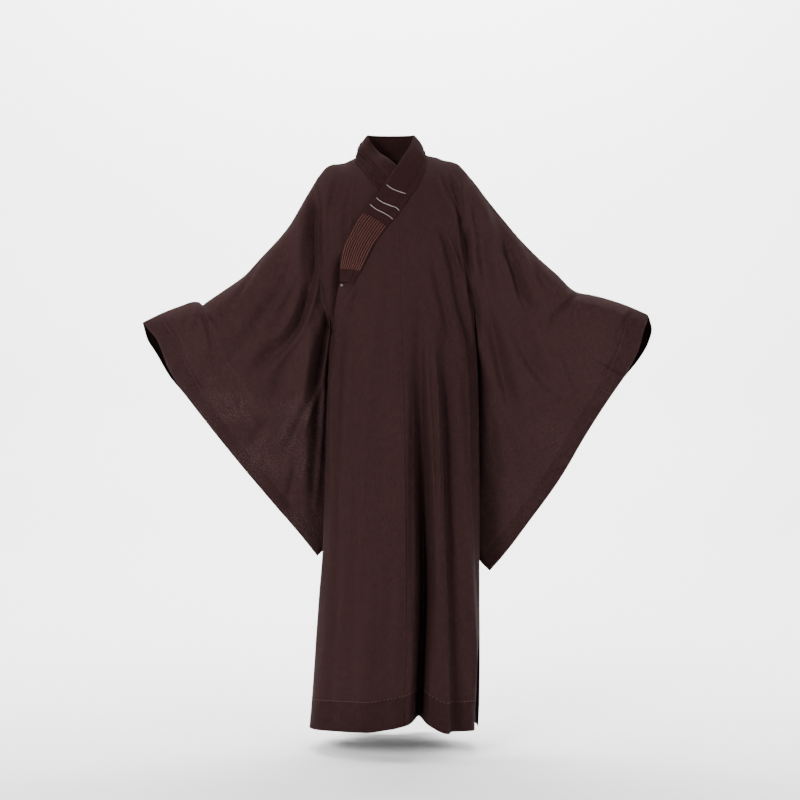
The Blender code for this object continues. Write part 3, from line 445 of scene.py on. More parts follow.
def wave_hem(grid):
    """Lifts a panel's lowest part along HEM_RISE; the columns keep their spacing."""
    table = np.array(HEM_RISE, float)
    across = 400 + (grid[:, -1, 0] - 0.017) * 1757 / (4.2 + grid[:, -1, 1])
    rise = np.interp(across, table[:, 0], table[:, 1], 0, 0) / 1000
    for _ in range(6):
        rise[1:-1] = (rise[:-2] + 2 * rise[1:-1] + rise[2:]) / 4
    share = smooth(1 - (grid[:, :, 2] - grid[:, -1:, 2]) / 0.45)
    grid[:, :, 2] += rise[:, None] * share
    return grid


def open_slit(grid, shift):
    """Moves a panel's last columns sideways below the top of the robe's left slit."""
    count = grid.shape[0]
    near = smooth((np.arange(count) - (count - 14)) / 12.0)[:, None]
    grid[:, :, 0] += shift * near * smooth((SLIT_TOP_Z - grid[:, :, 2]) / 0.30)
    return grid


# ------------------------------------------------------------ body surface
def centre(z):
    left, right = column(SECTIONS, "left", "z", z), column(SECTIONS, "right", "z", z)
    return (left + right) / 2, (right - left) / 2


def angle_at(x, z):
    """Angle round the body, 0 at the robe's right side, pi at the left."""
    middle, half = centre(z)
    return np.arccos(np.clip((middle - x) / half, -1, 1))


def base(theta, z):
    middle, half = centre(z)
    x = middle - half * np.cos(theta)
    fall = column(RIDGE, "z", "x", x) - z
    share = np.clip(fall / SHOULDER_FALL, 0, 1)
    rounding = np.sqrt(np.clip(1 - (1 - share) ** 2, 0, 1))
    front, back = column(SECTIONS, "front", "z", z), column(SECTIONS, "back", "z", z)
    s = np.sin(theta)
    depth = np.where(s >= 0, -front, back) * np.abs(s) ** SIDE_POWER
    return np.stack([x, SIDE_Y + depth * rounding, z + 0 * x], axis=-1)


def outward(theta, z):
    d = 1.5e-3
    across = base(theta + d, z) - base(theta - d, z)
    up = base(theta, z + d) - base(theta, z - d)
    n = np.cross(across, up)
    return n / np.maximum(np.linalg.norm(n, axis=-1, keepdims=True), 1e-9)


def crease_field(table, x, z):
    total = np.zeros_like(x)
    for c in table:
        share = np.clip((c.z_top - z) / (c.z_top - c.z_low), 0, 1)
        path = c.x_top + (c.x_low - c.x_top) * share
        strength = smooth((c.z_top - z) / 0.25) * (1 + (c.grow - 1) * share)
        total += c.depth * strength * np.exp(-((x - path) / (c.half_width * (1 + 0.4 * share))) ** 2)
    return total


def deep_fold(x, z):
    path = column(FRONT_FOLD, "fold_x", "z", z)
    width = column(FRONT_FOLD, "half_width", "z", z)
    depth = column(FRONT_FOLD, "depth", "z", z)
    return -depth * np.exp(-((x - path) / width) ** 2)


def body(theta, z, lift=0.0, fine=True):
    theta, z = np.broadcast_arrays(np.asarray(theta, float), np.asarray(z, float))
    p, n = base(theta, z), outward(theta, z)
    s = np.sin(theta)
    edge = smooth(np.abs(s) / 0.30)
    x = p[..., 0]
    front = crease_field(FRONT_CREASES, x, z)
    rear = crease_field(BACK_CREASES, x, z)
    if fine:
        front = front + pleat_field(FRONT_PLEATS, x, z, -0.11) + drift(x, z, 1.0)
        if fine == "under":
            front = front + pleat_field(UNDER_PLEATS, x, z, -0.11)
        rear = rear + pleat_field(BACK_PLEATS, x, z, 0.09) + drift(x, z, 2.0)
    move = np.where(s >= 0, front, rear) * edge
    q = p + n * (move + lift)[..., None]
    q[..., 1] -= np.where(s >= 0, deep_fold(p[..., 0], z), 0.0) * edge
    return q


def over_lift(theta):
    """The over panel's lift: whole at the front, none at the left side seam."""
    return OVER_LIFT * (1 - smooth((theta - 1.55) / 1.1))


def arm_angle(z, side):
    """Angle of the armhole edge, or of the side seam below it."""
    edge = column(ARMHOLES, side, "z", z)
    out = angle_at(edge, z)
    below = 0.0 if side == "left" else math.pi
    return np.where(z > ARMPIT_Z + 1e-9, out, below)


def slit(z, widest):
    return widest * smooth((SLIT_TOP_Z - z) / 0.28)


def solve_top(angle_of, top_of):
    """Height where a column of the grid meets the panel's top edge."""
    high, low = 0.030, ARMPIT_Z
    for _ in range(48):
        mid = (high + low) / 2
        middle, half = centre(mid)
        x = middle - half * math.cos(float(angle_of(np.array(mid))))
        if mid > float(top_of(x)):
            high = mid
        else:
            low = mid
    return (high + low) / 2


def hem_z(theta):
    s = np.sin(theta)
    return HEM_SIDE_Z + np.where(s >= 0, HEM_FRONT_Z - HEM_SIDE_Z, HEM_BACK_Z - HEM_SIDE_Z) * np.abs(s)


def blend_angle(first, last, share):
    return lambda z: first(z) + (last(z) - first(z)) * share


def through(shares, first, last, corner, face=1):
    """The shares with the nearest one moved so that its column meets the neck corner."""
    z = np.array(corner.z)
    at = (face * float(angle_at(corner.x, z)) - float(first(z))) / float(last(z) - first(z))
    shares = list(shares)
    nearest = min(range(1, len(shares) - 1), key=lambda k: abs(shares[k] - at))
    shares[nearest] = at
    return shares


# ------------------------------------------------------------ body panels
def seam_angle(z):
    return angle_at(column(FRONT_FOLD, "seam_x", "z", z), z)


def fold_angle(k):
    def at(z):
        x = column(FRONT_FOLD, "fold_x", "z", z) + k * column(FRONT_FOLD, "half_width", "z", z)
        return angle_at(x, z)
    return at


def left_edge(z):
    return arm_angle(z, "right") - slit(z, 0.38)


def right_edge(z):
    return arm_angle(z, "left") + slit(z, 0.12)


def free_edge(z):
    """The over panel's own side edge, clear of the sleeve, and past the side below it."""
    above = angle_at(column(FREE_EDGE, "x", "z", z), z)
    below = 0.172 - 0.05 * smooth((ARMPIT_Z - z) / 0.08) - 0.17 * smooth((-0.95 - z) / 0.18)
    return np.where(z > ARMPIT_Z, above, below)


def ridge_gap(grid, direction):
    """Moves top points that lie on the shoulder ridge off the seam."""
    top = grid[:, 0, :]
    on_ridge = np.abs(top[:, 1] - SIDE_Y) < 0.002
    top[on_ridge, 1] = SIDE_Y + direction * GAP * 0.7
    for corner in (OVER_NECK[-1], UNDER_NECK[0]):       # the neck corners, under the band
        at = np.hypot(top[:, 0] - corner.x, top[:, 2] - corner.z) < 0.002
        top[at, 1] = SIDE_Y + direction * NECK_CORNER_GAP
    return grid


# ------------------------------------------------------------ sleeves
def armhole_loop(side, face, shares, fine=True):
    """Edge of the armhole from the ridge to the armpit, front (1) or back (-1)."""
    angle = lambda z: face * arm_angle(z, side)
    ridge = lambda x: column(RIDGE, "z", "x", x)
    top = solve_top(lambda z: arm_angle(z, side), ridge)
    z = top + (ARMPIT_Z - top) * np.asarray(shares)
    theta = np.array([float(angle(np.array(v))) for v in z])
    return body(theta, z, 0.0, fine)


def sleeve_sheet(table, side, face, ps, qs):
    """One layer of a sleeve. p runs from the armhole to the cuff, q from the top line down."""
    sign = 1.0 if side == "right" else -1.0
    inner = armhole_loop(side, face, qs, False)
    folded = armhole_loop(side, face, qs) - inner
    inner[..., 0] += sign * (0.0002 + 0.0009 * np.exp(-qs / 0.03)[:, None][:, 0])
    shoulder, armpit = inner[0], inner[-1]
    cuff_top = np.array(table["top"][-1])
    top = along([shoulder] + list(table["top"]), ps)
    bottom = along([armpit] + list(table["bottom"]), ps)
    cuff = along([cuff_top] + list(table["cuff_front" if face > 0 else "cuff_back"]),
                 np.clip(qs / CUFF_SHARE, 0, 1))
    closed = along([table["cuff_front"][-1]] + list(table["outer"]),
                   np.clip((qs - CUFF_SHARE) / (1 - CUFF_SHARE), 0, 1))
    outer = np.where((qs < CUFF_SHARE)[:, None], cuff, closed)
    p, q = ps[:, None, None], qs[None, :, None]
    patch = ((1 - q) * top[:, None] + q * bottom[:, None]
             + (1 - p) * inner[None] + p * outer[None]
             - ((1 - p) * (1 - q) * shoulder + (1 - p) * q * armpit
                + p * (1 - q) * outer[0] + p * q * outer[-1]))
    # fullness between the layers
    p, q = p[..., 0], q[..., 0]
    length = np.linalg.norm(top - bottom, axis=1)[:, None]
    cap = SLEEVE_CAP / length
    rise = np.sqrt(np.clip(1 - (1 - np.clip(q / cap, 0, 1)) ** 2, 0, 1))
    taper = 1 - 0.62 * smooth((q - cap) / (1 - cap))
    middle = np.clip(4 * p * (1 - p), 0, 1) ** 0.5 * smooth(p / 0.12 + 0.12)
    bulge = SLEEVE_FULL * rise * taper * middle * np.clip((1 - q) / 0.12, 0, 1) ** 0.5
    seam = SLEEVE_EDGE * np.clip(q / cap, 0, 1) * np.where(q < CUFF_SHARE, 1 - p**8, 1.0)
    inside = np.where((q < 1 - 1e-9) & (p > 1e-9)
                      & ((p < 1 - 1e-9) | (q < CUFF_SHARE - 1e-9)), 1.0, 0.0)
    out = bulge + seam * inside * np.clip(p / 0.10, 0, 1)
    x, z = patch[..., 0].copy(), patch[..., 2].copy()
    creases = swag_field(x * (-sign), z)
    calm = smooth(p / 0.12) * smooth(q / 0.10) * smooth((1 - q) / 0.15) * smooth((1 - p) / 0.15)
    # the folds of this layer, and those of the body that run on across the armhole
    table_of = {("right", 1): RIGHT_FRONT_PLEATS, ("right", -1): RIGHT_BACK_PLEATS,
                ("left", 1): LEFT_FRONT_PLEATS, ("left", -1): LEFT_BACK_PLEATS}
    own = pleat_field(table_of["left" if side == "right" else "right", face], x, z, -0.03)
    own = own + drift(x + 0.5 * z, z - 0.5 * x, 3.0 + face, 0.0010)
    near = smooth(p / 0.03) * smooth(q / 0.035) * smooth((1 - q) / 0.05) * smooth((1 - p) / 0.05)
    patch[..., 1] -= face * (out + creases * calm + own * near)
    patch += folded[None] * np.exp(-(p * length / 0.035) ** 2)[..., None]
    return patch


def swag_field(x, z):
    total = np.zeros_like(x)
    for s in SLEEVE_SWAGS:
        best = np.full_like(x, 1.0)
        where = np.zeros_like(x)
        for t in np.linspace(0, 1, 41):
            px = (1 - t) ** 2 * s.x0 + 2 * t * (1 - t) * s.x1 + t * t * s.x2
            pz = (1 - t) ** 2 * s.z0 + 2 * t * (1 - t) * s.z1 + t * t * s.z2
            d = np.hypot(x - px, z - pz)
            near = d < best
            best, where = np.where(near, d, best), np.where(near, t, where)
        ends = smooth(where / 0.25) * smooth((1 - where) / 0.3)
        total += s.depth * ends * np.exp(-(best / s.half_width) ** 2)
    return total


def on_body(x, z, lift):
    return body(angle_at(x, z), z, lift)


def under_lift(z):
    """The under panel sinks behind the over panel below the neck."""
    return -0.0060 * smooth((-0.03 - z) / 0.10)


def band_stations(across):
    """Stations of the whole band, from the armpit corner to the under end: [station, across]."""
    rows = []

    def laid(row, face, lift_of):
        x = row.low_x + (row.free_x - row.low_x) * across
        z = row.low_z + (row.free_z - row.low_z) * across
        rows.append(body(face * angle_at(x, z), z, lift_of(z)))

    def standing(low, free):
        low, free = np.array(low, float), np.array(free, float)
        middle = (low + free) / 2 - np.array([-0.005, SIDE_Y, 0.02])
        middle[2] = 0.0
        out = middle / np.linalg.norm(middle)
        crown = 0.0025 * np.sin(math.pi * across)
        rows.append(low + (free - low) * across[:, None] + out * crown[:, None])

    for row in OVER_BAND:
        laid(row, 1, lambda z: OVER_LIFT + BAND_CLEAR + 0 * z)
    for row in LEFT_OF_NECK:
        standing(row[:3], row[3:])
    for row in NECK_BAND:
        x, z = np.array(row.low_x), np.array(row.low_z)
        standing(body(-angle_at(x, z), z, BAND_CLEAR), [row.free_x, row.free_y, row.free_z])
    for row in RIGHT_OF_NECK:
        standing(row[:3], row[3:])
    for row in UNDER_BAND:
        laid(row, 1, lambda z: under_lift(z) + BAND_CLEAR)
    return np.array(rows)


def band_grid(shares, across):
    """The band as a grid; share 0 is the armpit corner, 1 the hidden under end."""
    rows = band_stations(across)
    return np.stack([along(rows[:, k], shares) for k in range(len(across))], axis=1)



# ------------------------------------------------------------ fine grids
CLOTH = 0.0013           # thickness of the cloth shells
UPPER = np.array([0, 0.0016, 0.006] + list(np.linspace(0.014, 1.0, 78)))
SKIRT = 168


def even(count, first=0.0, last=1.0):
    return np.linspace(first, last, count)


def fine_panel(angles, top_of, lift_of, layer="over", upper=UPPER, skirt=SKIRT):
    """Grid of points for a whole panel, worked out in one go."""
    theta, z = [], []
    for angle_of in angles:
        top = solve_top(angle_of, top_of)
        hem = float(hem_z(angle_of(np.array(HEM_FRONT_Z))))
        rows = np.concatenate([top + (ARMPIT_Z - top) * upper,
                               ARMPIT_Z + (hem - ARMPIT_Z) * even(skirt + 1)[1:]])
        theta.append(angle_of(rows))
        z.append(rows)
    theta, z = np.array(theta), np.array(z)
    return body(theta, z, lift_of(theta, z), layer)


def lengths(grid):
    """Distances over the cloth across and down a grid, used as its UV in metres."""
    u = np.zeros(grid.shape[:2])
    v = np.zeros(grid.shape[:2])
    u[1:] = np.cumsum(np.linalg.norm(np.diff(grid, axis=0), axis=2), axis=0)
    v[:, 1:] = np.cumsum(np.linalg.norm(np.diff(grid, axis=1), axis=2), axis=1)
    return u, v


def cloth(name, grids, mat, wall, inward=True, weld=2e-5, doubled=None, inside=None):
    """Joins grids into one smooth shell with its wall, UVs in metres of cloth.

    doubled gives for each grid how much a point lies on a hem or facing."""
    work = bmesh.new()
    layer = work.loops.layers.uv.new("cloth")
    hem_layer = work.verts.layers.float.new("doubled")
    for number, (grid, flip) in enumerate(grids):
        u, v = lengths(grid)
        u = u + 3.0 * number
        verts = [[work.verts.new(p) for p in row] for row in grid]
        place = {}
        for i, row in enumerate(verts):
            for k, vert in enumerate(row):
                place[vert] = (u[i, k], v[i, k])
        if doubled is not None:
            for row, shares in zip(verts, doubled[number]):
                for vert, share in zip(row, shares):
                    vert[hem_layer] = float(share)
        for a, b in zip(verts, verts[1:]):
            for k in range(len(a) - 1):
                corners = (a[k], b[k], b[k + 1], a[k + 1])
                face = work.faces.new(corners[::-1] if flip else corners)
                for loop in face.loops:
                    loop[layer].uv = place[loop.vert]
    bmesh.ops.remove_doubles(work, verts=work.verts, dist=weld)
    bmesh.ops.dissolve_degenerate(work, edges=work.edges, dist=1e-6)
    mesh = bpy.data.meshes.new(name)
    work.to_mesh(mesh)
    work.free()
    mesh.materials.append(mat)
    obj = bpy.data.objects.new(name, mesh)
    bpy.context.scene.collection.objects.link(obj)
    mesh.shade_smooth()
    solid = obj.modifiers.new("wall", "SOLIDIFY")
    solid.thickness = wall
    solid.offset = -1.0 if inward else 1.0
    solid.use_even_offset = False
    # the inner faces of the wall get the second material, a darker copy of the weave: painted shade inside the robe, at
    # the slits and cuffs
    if inside is not None:
        mesh.materials.append(inside)
        solid.material_offset = 1
    return obj


def threads(name, runs, mat, radius, flat=1.0, sides=6):
    """Sewing thread: each run is (points, outward) and becomes one low rounded tube."""
    work = bmesh.new()
    for points, out in runs:
        points, out = np.asarray(points, float), np.asarray(out, float)
        ahead = np.gradient(points, axis=0)
        ahead /= np.linalg.norm(ahead, axis=1, keepdims=True)
        side = np.cross(ahead, out)
        side /= np.linalg.norm(side, axis=1, keepdims=True)
        up = np.cross(side, ahead)
        rings = []
        for j, p in enumerate(points):
            end = 0.45 if j in (0, len(points) - 1) else 1.0
            ring = []
            for s in range(sides):
                a = 2 * math.pi * s / sides
                ring.append(work.verts.new(
                    p + end * radius * (math.cos(a) * side[j] + flat * math.sin(a) * up[j])))
            rings.append(ring)
        for a, b in zip(rings, rings[1:]):
            for s in range(sides):
                t = (s + 1) % sides
                work.faces.new((a[s], a[t], b[t], b[s]))
        work.faces.new(rings[0][::-1])
        work.faces.new(rings[-1])
    bmesh.ops.recalc_face_normals(work, faces=work.faces)
    mesh = bpy.data.meshes.new(name)
    work.to_mesh(mesh)
    work.free()
    mesh.materials.append(mat)
    obj = bpy.data.objects.new(name, mesh)
    bpy.context.scene.collection.objects.link(obj)
    mesh.shade_smooth()
    return obj


def dashes(points, out, stitch, gap, bend=0.0):
    """Cuts a dense line on the cloth into stitches."""
    points, out = np.asarray(points, float), np.asarray(out, float)
    at = np.concatenate([[0], np.cumsum(np.linalg.norm(np.diff(points, axis=0), axis=1))])
    runs, start, number = [], 0.0, 0
    while start + stitch < at[-1]:
        length = stitch * (1 + 0.10 * math.sin(number * 2.4))
        where = start + length * np.array([0.0, 0.2, 0.5, 0.8, 1.0])
        p = np.stack([np.interp(where, at, points[:, k]) for k in range(3)], axis=1)
        n = np.stack([np.interp(where, at, out[:, k]) for k in range(3)], axis=1)
        n /= np.linalg.norm(n, axis=1, keepdims=True)
        p += n * (np.array([-1.0, 0.4, 1.0, 0.4, -1.0]) * bend)[:, None]
        runs.append((p, n))
        start += length + gap * (1 + 0.15 * math.sin(number * 1.7))
        number += 1
    return runs


# ------------------------------------------------------------ materials
def ramp(tree, source, stops):
    node = tree.nodes.new("ShaderNodeValToRGB")
    node.color_ramp.elements[0].position, node.color_ramp.elements[0].color = stops[0]
    node.color_ramp.elements[1].position, node.color_ramp.elements[1].color = stops[-1]
    for at, colour in stops[1:-1]:
        node.color_ramp.elements.new(at).color = colour
    tree.links.new(source, node.inputs["Fac"])
    return node.outputs["Color"]


def noise(tree, vector, scale, detail, rough=0.5, squeeze=(1, 1, 1)):
    mapping = tree.nodes.new("ShaderNodeMapping")
    mapping.inputs["Scale"].default_value = squeeze
    tree.links.new(vector, mapping.inputs["Vector"])
    node = tree.nodes.new("ShaderNodeTexNoise")
    node.inputs["Scale"].default_value = scale
    node.inputs["Detail"].default_value = detail
    node.inputs["Roughness"].default_value = rough
    tree.links.new(mapping.outputs["Vector"], node.inputs["Vector"])
    return node.outputs["Fac"]


def maths(tree, kind, a, b):
    node = tree.nodes.new("ShaderNodeMath")
    node.operation = kind
    for value, socket in ((a, node.inputs[0]), (b, node.inputs[1])):
        if isinstance(value, (int, float)):
            socket.default_value = value
        else:
            tree.links.new(value, socket)
    return node.outputs["Value"]


def mix(tree, how, share, a, b):
    node = tree.nodes.new("ShaderNodeMix")
    node.data_type = "RGBA"
    node.blend_type = how
    sockets = [s for s in node.inputs if s.enabled]
    for value, socket in zip((share, a, b), sockets):
        if isinstance(value, (int, float, tuple)):
            socket.default_value = value
        else:
            tree.links.new(value, socket)
    return [s for s in node.outputs if s.enabled][0]


def bump(tree, height, strength, distance, normal=None):
    node = tree.nodes.new("ShaderNodeBump")
    node.inputs["Strength"].default_value = strength
    node.inputs["Distance"].default_value = distance
    tree.links.new(height, node.inputs["Height"])
    if normal is not None:
        tree.links.new(normal, node.inputs["Normal"])
    return node.outputs["Normal"]


def woven(name, dark, light, rough, sheen, tint, pitch=0.0011, speckle=0.5, fold_tone=0.06, painted_glints=0.0):
    """Plain-woven cloth: threads both ways, slubs, slow colour drift, soft sheen."""
    mat = bpy.data.materials.new(name)
    mat.use_nodes = True
    tree = mat.node_tree
    shader = tree.nodes["Principled BSDF"]
    spot_at = tree.nodes.new("ShaderNodeTexCoord")
    uv = spot_at.outputs["UV"]
    place = spot_at.outputs["Object"]
    # threads: long thin noise both ways, as uneven yarn
    warp = noise(tree, uv, 1.0, 2.0, 0.6, (1 / pitch, 70, 1))
    weft = noise(tree, uv, 1.0, 2.0, 0.6, (70, 1 / pitch, 1))
    yarn = maths(tree, "MULTIPLY", maths(tree, "ADD", warp, weft), 0.5)
    slub_a = noise(tree, uv, 1.0, 3.0, 0.65, (330, 26, 1))
    slub_b = noise(tree, uv, 1.0, 3.0, 0.65, (26, 330, 1))
    slub = maths(tree, "MULTIPLY", maths(tree, "ADD", slub_a, slub_b), 0.5)
    grain = maths(tree, "ADD", maths(tree, "MULTIPLY", yarn, 0.70), maths(tree, "MULTIPLY", slub, 0.30))
    worn = noise(tree, place, 7.0, 3.0, 0.5)
    spread = 0.23 * speckle
    fine = ramp(tree, grain, [(0.5 - spread, (*dark, 1)), (0.5 + spread, (*light, 1))])
    drift_tone = ramp(tree, worn, [(0.30, (1 - fold_tone, 1 - fold_tone, 1 - fold_tone, 1)),
                                   (0.70, (1, 1, 1, 1))])
    colour = mix(tree, "MULTIPLY", 1.0, fine, drift_tone)
    # painted shade: cloth is made a little darker where it is doubled, in hems and facings, standing in for less light
    # showing through two layers
    attribute = tree.nodes.new("ShaderNodeAttribute")
    attribute.attribute_name = "doubled"
    doubled_shade = ramp(tree, attribute.outputs["Fac"], [(0.35, (1, 1, 1, 1)), (0.65, (0.84, 0.83, 0.83, 1))])
    colour = mix(tree, "MULTIPLY", 1.0, colour, doubled_shade)
    if painted_glints:
        # painted highlight: pale glints of the open weave on the lower half of the sleeves, strongest on the robe's
        # right sleeve
        glint = noise(tree, uv, 1.0, 1.0, 0.5, (300, 520, 1))
        patchy = noise(tree, place, 9.0, 2.0, 0.5)
        parts = tree.nodes.new("ShaderNodeSeparateXYZ")
        tree.links.new(place, parts.inputs["Vector"])
        height = ramp(tree, maths(tree, "MULTIPLY", parts.outputs["Z"], -1.0),
                      [(0.42, (0, 0, 0, 1)), (0.62, (1, 1, 1, 1))])
        where = maths(tree, "MULTIPLY", ramp(tree, patchy, [(0.42, (0, 0, 0, 1)), (0.60, (1, 1, 1, 1))]), height)
        side = ramp(tree, maths(tree, "ADD", parts.outputs["X"], 0.5), [(0.4, (1, 1, 1, 1)), (0.6, (0.3, 0.3, 0.3, 1))])
        where = maths(tree, "MULTIPLY", where, side)
        shine = maths(tree, "MULTIPLY", ramp(tree, glint, [(0.56, (0, 0, 0, 1)), (0.70, (1, 1, 1, 1))]), where)
        colour = mix(tree, "ADD", maths(tree, "MULTIPLY", shine, painted_glints), colour, (0.055, 0.043, 0.040, 1))
    tree.links.new(colour, shader.inputs["Base Color"])
    rough_out = ramp(tree, grain, [(0.35, (rough + 0.06,) * 3 + (1,)), (0.65, (rough - 0.08,) * 3 + (1,))])
    tree.links.new(rough_out, shader.inputs["Roughness"])
    shader.inputs["Specular IOR Level"].default_value = 0.025
    shader.inputs["Sheen Weight"].default_value = sheen
    shader.inputs["Sheen Roughness"].default_value = 0.45
    shader.inputs["Sheen Tint"].default_value = (*tint, 1)
    soft = noise(tree, place, 38.0, 3.0, 0.55)
    normal = bump(tree, soft, 0.09, 0.003)
    normal = bump(tree, grain, 0.28, 0.0006, normal)
    tree.links.new(normal, shader.inputs["Normal"])
    return mat


def thread_material(name, colour, rough=0.7):
    mat = bpy.data.materials.new(name)
    mat.use_nodes = True
    tree = mat.node_tree
    shader = tree.nodes["Principled BSDF"]
    place = tree.nodes.new("ShaderNodeTexCoord").outputs["Object"]
    twist = noise(tree, place, 900.0, 2.0, 0.6)
    dark = tuple(0.72 * c for c in colour)
    tone = ramp(tree, twist, [(0.35, (*dark, 1)), (0.65, (*colour, 1))])
    tree.links.new(tone, shader.inputs["Base Color"])
    shader.inputs["Roughness"].default_value = rough
    shader.inputs["Specular IOR Level"].default_value = 0.12
    tree.links.new(bump(tree, twist, 0.4, 0.0004), shader.inputs["Normal"])
    return mat


def button_material():
    mat = bpy.data.materials.new("button_shell")
    mat.use_nodes = True
    tree = mat.node_tree
    shader = tree.nodes["Principled BSDF"]
    place = tree.nodes.new("ShaderNodeTexCoord").outputs["Object"]
    clouds = noise(tree, place, 260.0, 3.0, 0.6)
    tone = ramp(tree, clouds, [(0.3, (0.030, 0.023, 0.021, 1)), (0.7, (0.110, 0.088, 0.078, 1))])
    tree.links.new(tone, shader.inputs["Base Color"])
    rough = ramp(tree, clouds, [(0.3, (0.35, 0.35, 0.35, 1)), (0.7, (0.5, 0.5, 0.5, 1))])
    tree.links.new(rough, shader.inputs["Roughness"])
    tree.links.new(bump(tree, clouds, 0.2, 0.0003), shader.inputs["Normal"])
    return mat


# ------------------------------------------------------------ building
def hem_share(grid):
    """How much each point of a panel lies in its turned-up hem."""
    return np.where(grid[:, :, 2] < grid[:, -1:, 2] + 0.070, 1.0, 0.0)


def make_panels(looks):
    over = lambda theta, z: over_lift(theta) + 0 * z
    flat = lambda theta, z: 0 * theta
    ridge = lambda x: column(RIDGE, "z", "x", x)
    neck = lambda x: (column(OVER_NECK, "z", "x", x) if x < OVER_NECK[-1].x else ridge(x))
    under_neck = lambda x: (column(UNDER_NECK, "z", "x", x) if x > UNDER_NECK[0].x else ridge(x))
    back_neck = lambda x: (column(BACK_NECK, "z", "x", x)
                           if BACK_NECK[0].x < x < BACK_NECK[-1].x else ridge(x))
    made = {}

    last = fold_angle(2.3)
    angles = [blend_angle(seam_angle, fold_angle(-1.9), s) for s in even(6)[:-1]]
    angles += [fold_angle(k) for k in even(35, -1.9, 2.3)]
    angles += [blend_angle(last, left_edge, s) for s in even(54)[1:]]
    left = open_slit(wave_hem(ridge_gap(fine_panel(angles, neck, over), -1)), -0.0055)
    made["front_left"] = cloth("robe_front_left", [(left, True)], looks["cloth"], CLOTH,
                               doubled=[hem_share(left)], inside=looks["inside"])

    angles = [blend_angle(free_edge, seam_angle, s) for s in even(66)]
    over_grid = wave_hem(fine_panel(angles, neck, over))
    made["front_overlap"] = cloth("robe_front_over", [(over_grid, True)], looks["cloth"], CLOTH,
                                  doubled=[hem_share(over_grid)], inside=looks["inside"])

    inner = lambda z: angle_at(np.full_like(z, UNDER_EDGE_X), z)
    shares = through(even(48), right_edge, inner, UNDER_NECK[0])
    under = lambda theta, z: under_lift(z) * smooth((theta - arm_angle(z, "left")) / 0.45)
    grid = fine_panel([blend_angle(right_edge, inner, s) for s in shares], under_neck, under, "under")
    grid = wave_hem(ridge_gap(grid, -1))
    made["front_right"] = cloth("robe_front_under", [(grid, True)], looks["cloth"], CLOTH,
                                doubled=[hem_share(grid)], inside=looks["inside"])

    start = lambda z: -arm_angle(z, "left")
    end = lambda z: -arm_angle(z, "right")
    shares = even(112)
    for corner in (BACK_NECK[0], BACK_NECK[-1]):
        shares = through(shares, start, end, corner, -1)
    grid = fine_panel([blend_angle(start, end, s) for s in shares], back_neck, flat)
    grid = open_slit(ridge_gap(grid, 1), 0.0020)
    made["back"] = cloth("robe_back", [(grid, False)], looks["cloth"], CLOTH,
                         doubled=[hem_share(grid)], inside=looks["inside"])
    return made, dict(left=left, over=over_grid, back=grid)


def make_fine_sleeve(name, table, side, mat, inside):
    ps = np.concatenate([[0, 0.004, 0.010], even(108, 0.018, 0.985), [0.994, 1.0]])
    qs = np.concatenate([[0, 0.0016, 0.004, 0.008, 0.014], even(96, 0.022, 0.990), [1.0]])
    qs = np.array(sorted(set(qs) | {CUFF_SHARE}))
    front = sleeve_sheet(table, side, 1, ps, qs)
    back = sleeve_sheet(table, side, -1, ps, qs)
    for i in range(1, len(ps)):
        for k in (0, -1):
            front[i, k] = back[i, k] = (front[i, k] + back[i, k]) / 2
    for k in range(len(qs)):
        if qs[k] >= CUFF_SHARE - 1e-9:
            front[-1, k] = back[-1, k] = (front[-1, k] + back[-1, k]) / 2
    for k in (0, -1):
        front[0, k] = back[0, k] = (front[0, k] + back[0, k]) / 2
    right = side == "right"
    # the seam allowance, turned in behind the body's edge
    sign = 1.0 if right else -1.0
    turned = [np.concatenate([(layer[:1] + np.array([-sign * 0.009, face * 0.012, 0.0])), layer])
              for layer, face in ((front, 1), (back, -1))]
    reach = np.linalg.norm(front[:, 0] - front[:, -1], axis=1).max() * 0.5
    # where the sleeve's cloth is doubled, along its sewn edge and in the cuff facing; the material darkens these parts
    # as painted shade
    edge = (ps[:, None] > 1 - 0.024 / reach) & (qs[None, :] > CUFF_SHARE)
    facing = (ps[:, None] > 0.905) & (qs[None, :] <= CUFF_SHARE * 1.12)
    share = np.where(edge, 1.0, np.where(facing, 0.8, 0.0))
    share = np.concatenate([share[:1], share])
    obj = cloth(name, [(turned[0], right), (turned[1], not right)], mat, CLOTH,
                doubled=[share, share], inside=inside)
    return obj, front, back, ps, qs


def normals(grid):
    n = np.cross(np.gradient(grid, axis=0), np.gradient(grid, axis=1))
    return n / np.maximum(np.linalg.norm(n, axis=-1, keepdims=True), 1e-9)


# where the sewn edge of the collar settles onto the shoulders: share, mm in x, y and z
EDGE_SETTLE = [(0.00, 0, 0, 0), (0.30, 0, 0, 0), (0.37, -1, 3, -2), (0.40, -2, 4, -4), (0.43, -2, 2, -3.5),
               (0.47, -1, 1, -4.0), (0.50, -1, -1, -7.5), (0.53, 0, 0, -1), (0.56, 0, 0, 0), (0.68, 0, 0, 0),
               (0.73, 1, -1, -2.5), (0.77, 3, 1, -5), (0.80, 3, 3, -5.5), (0.83, 2, 4, -3.5), (0.87, 0, 0, 0),
               (1.00, 0, 0, 0)]


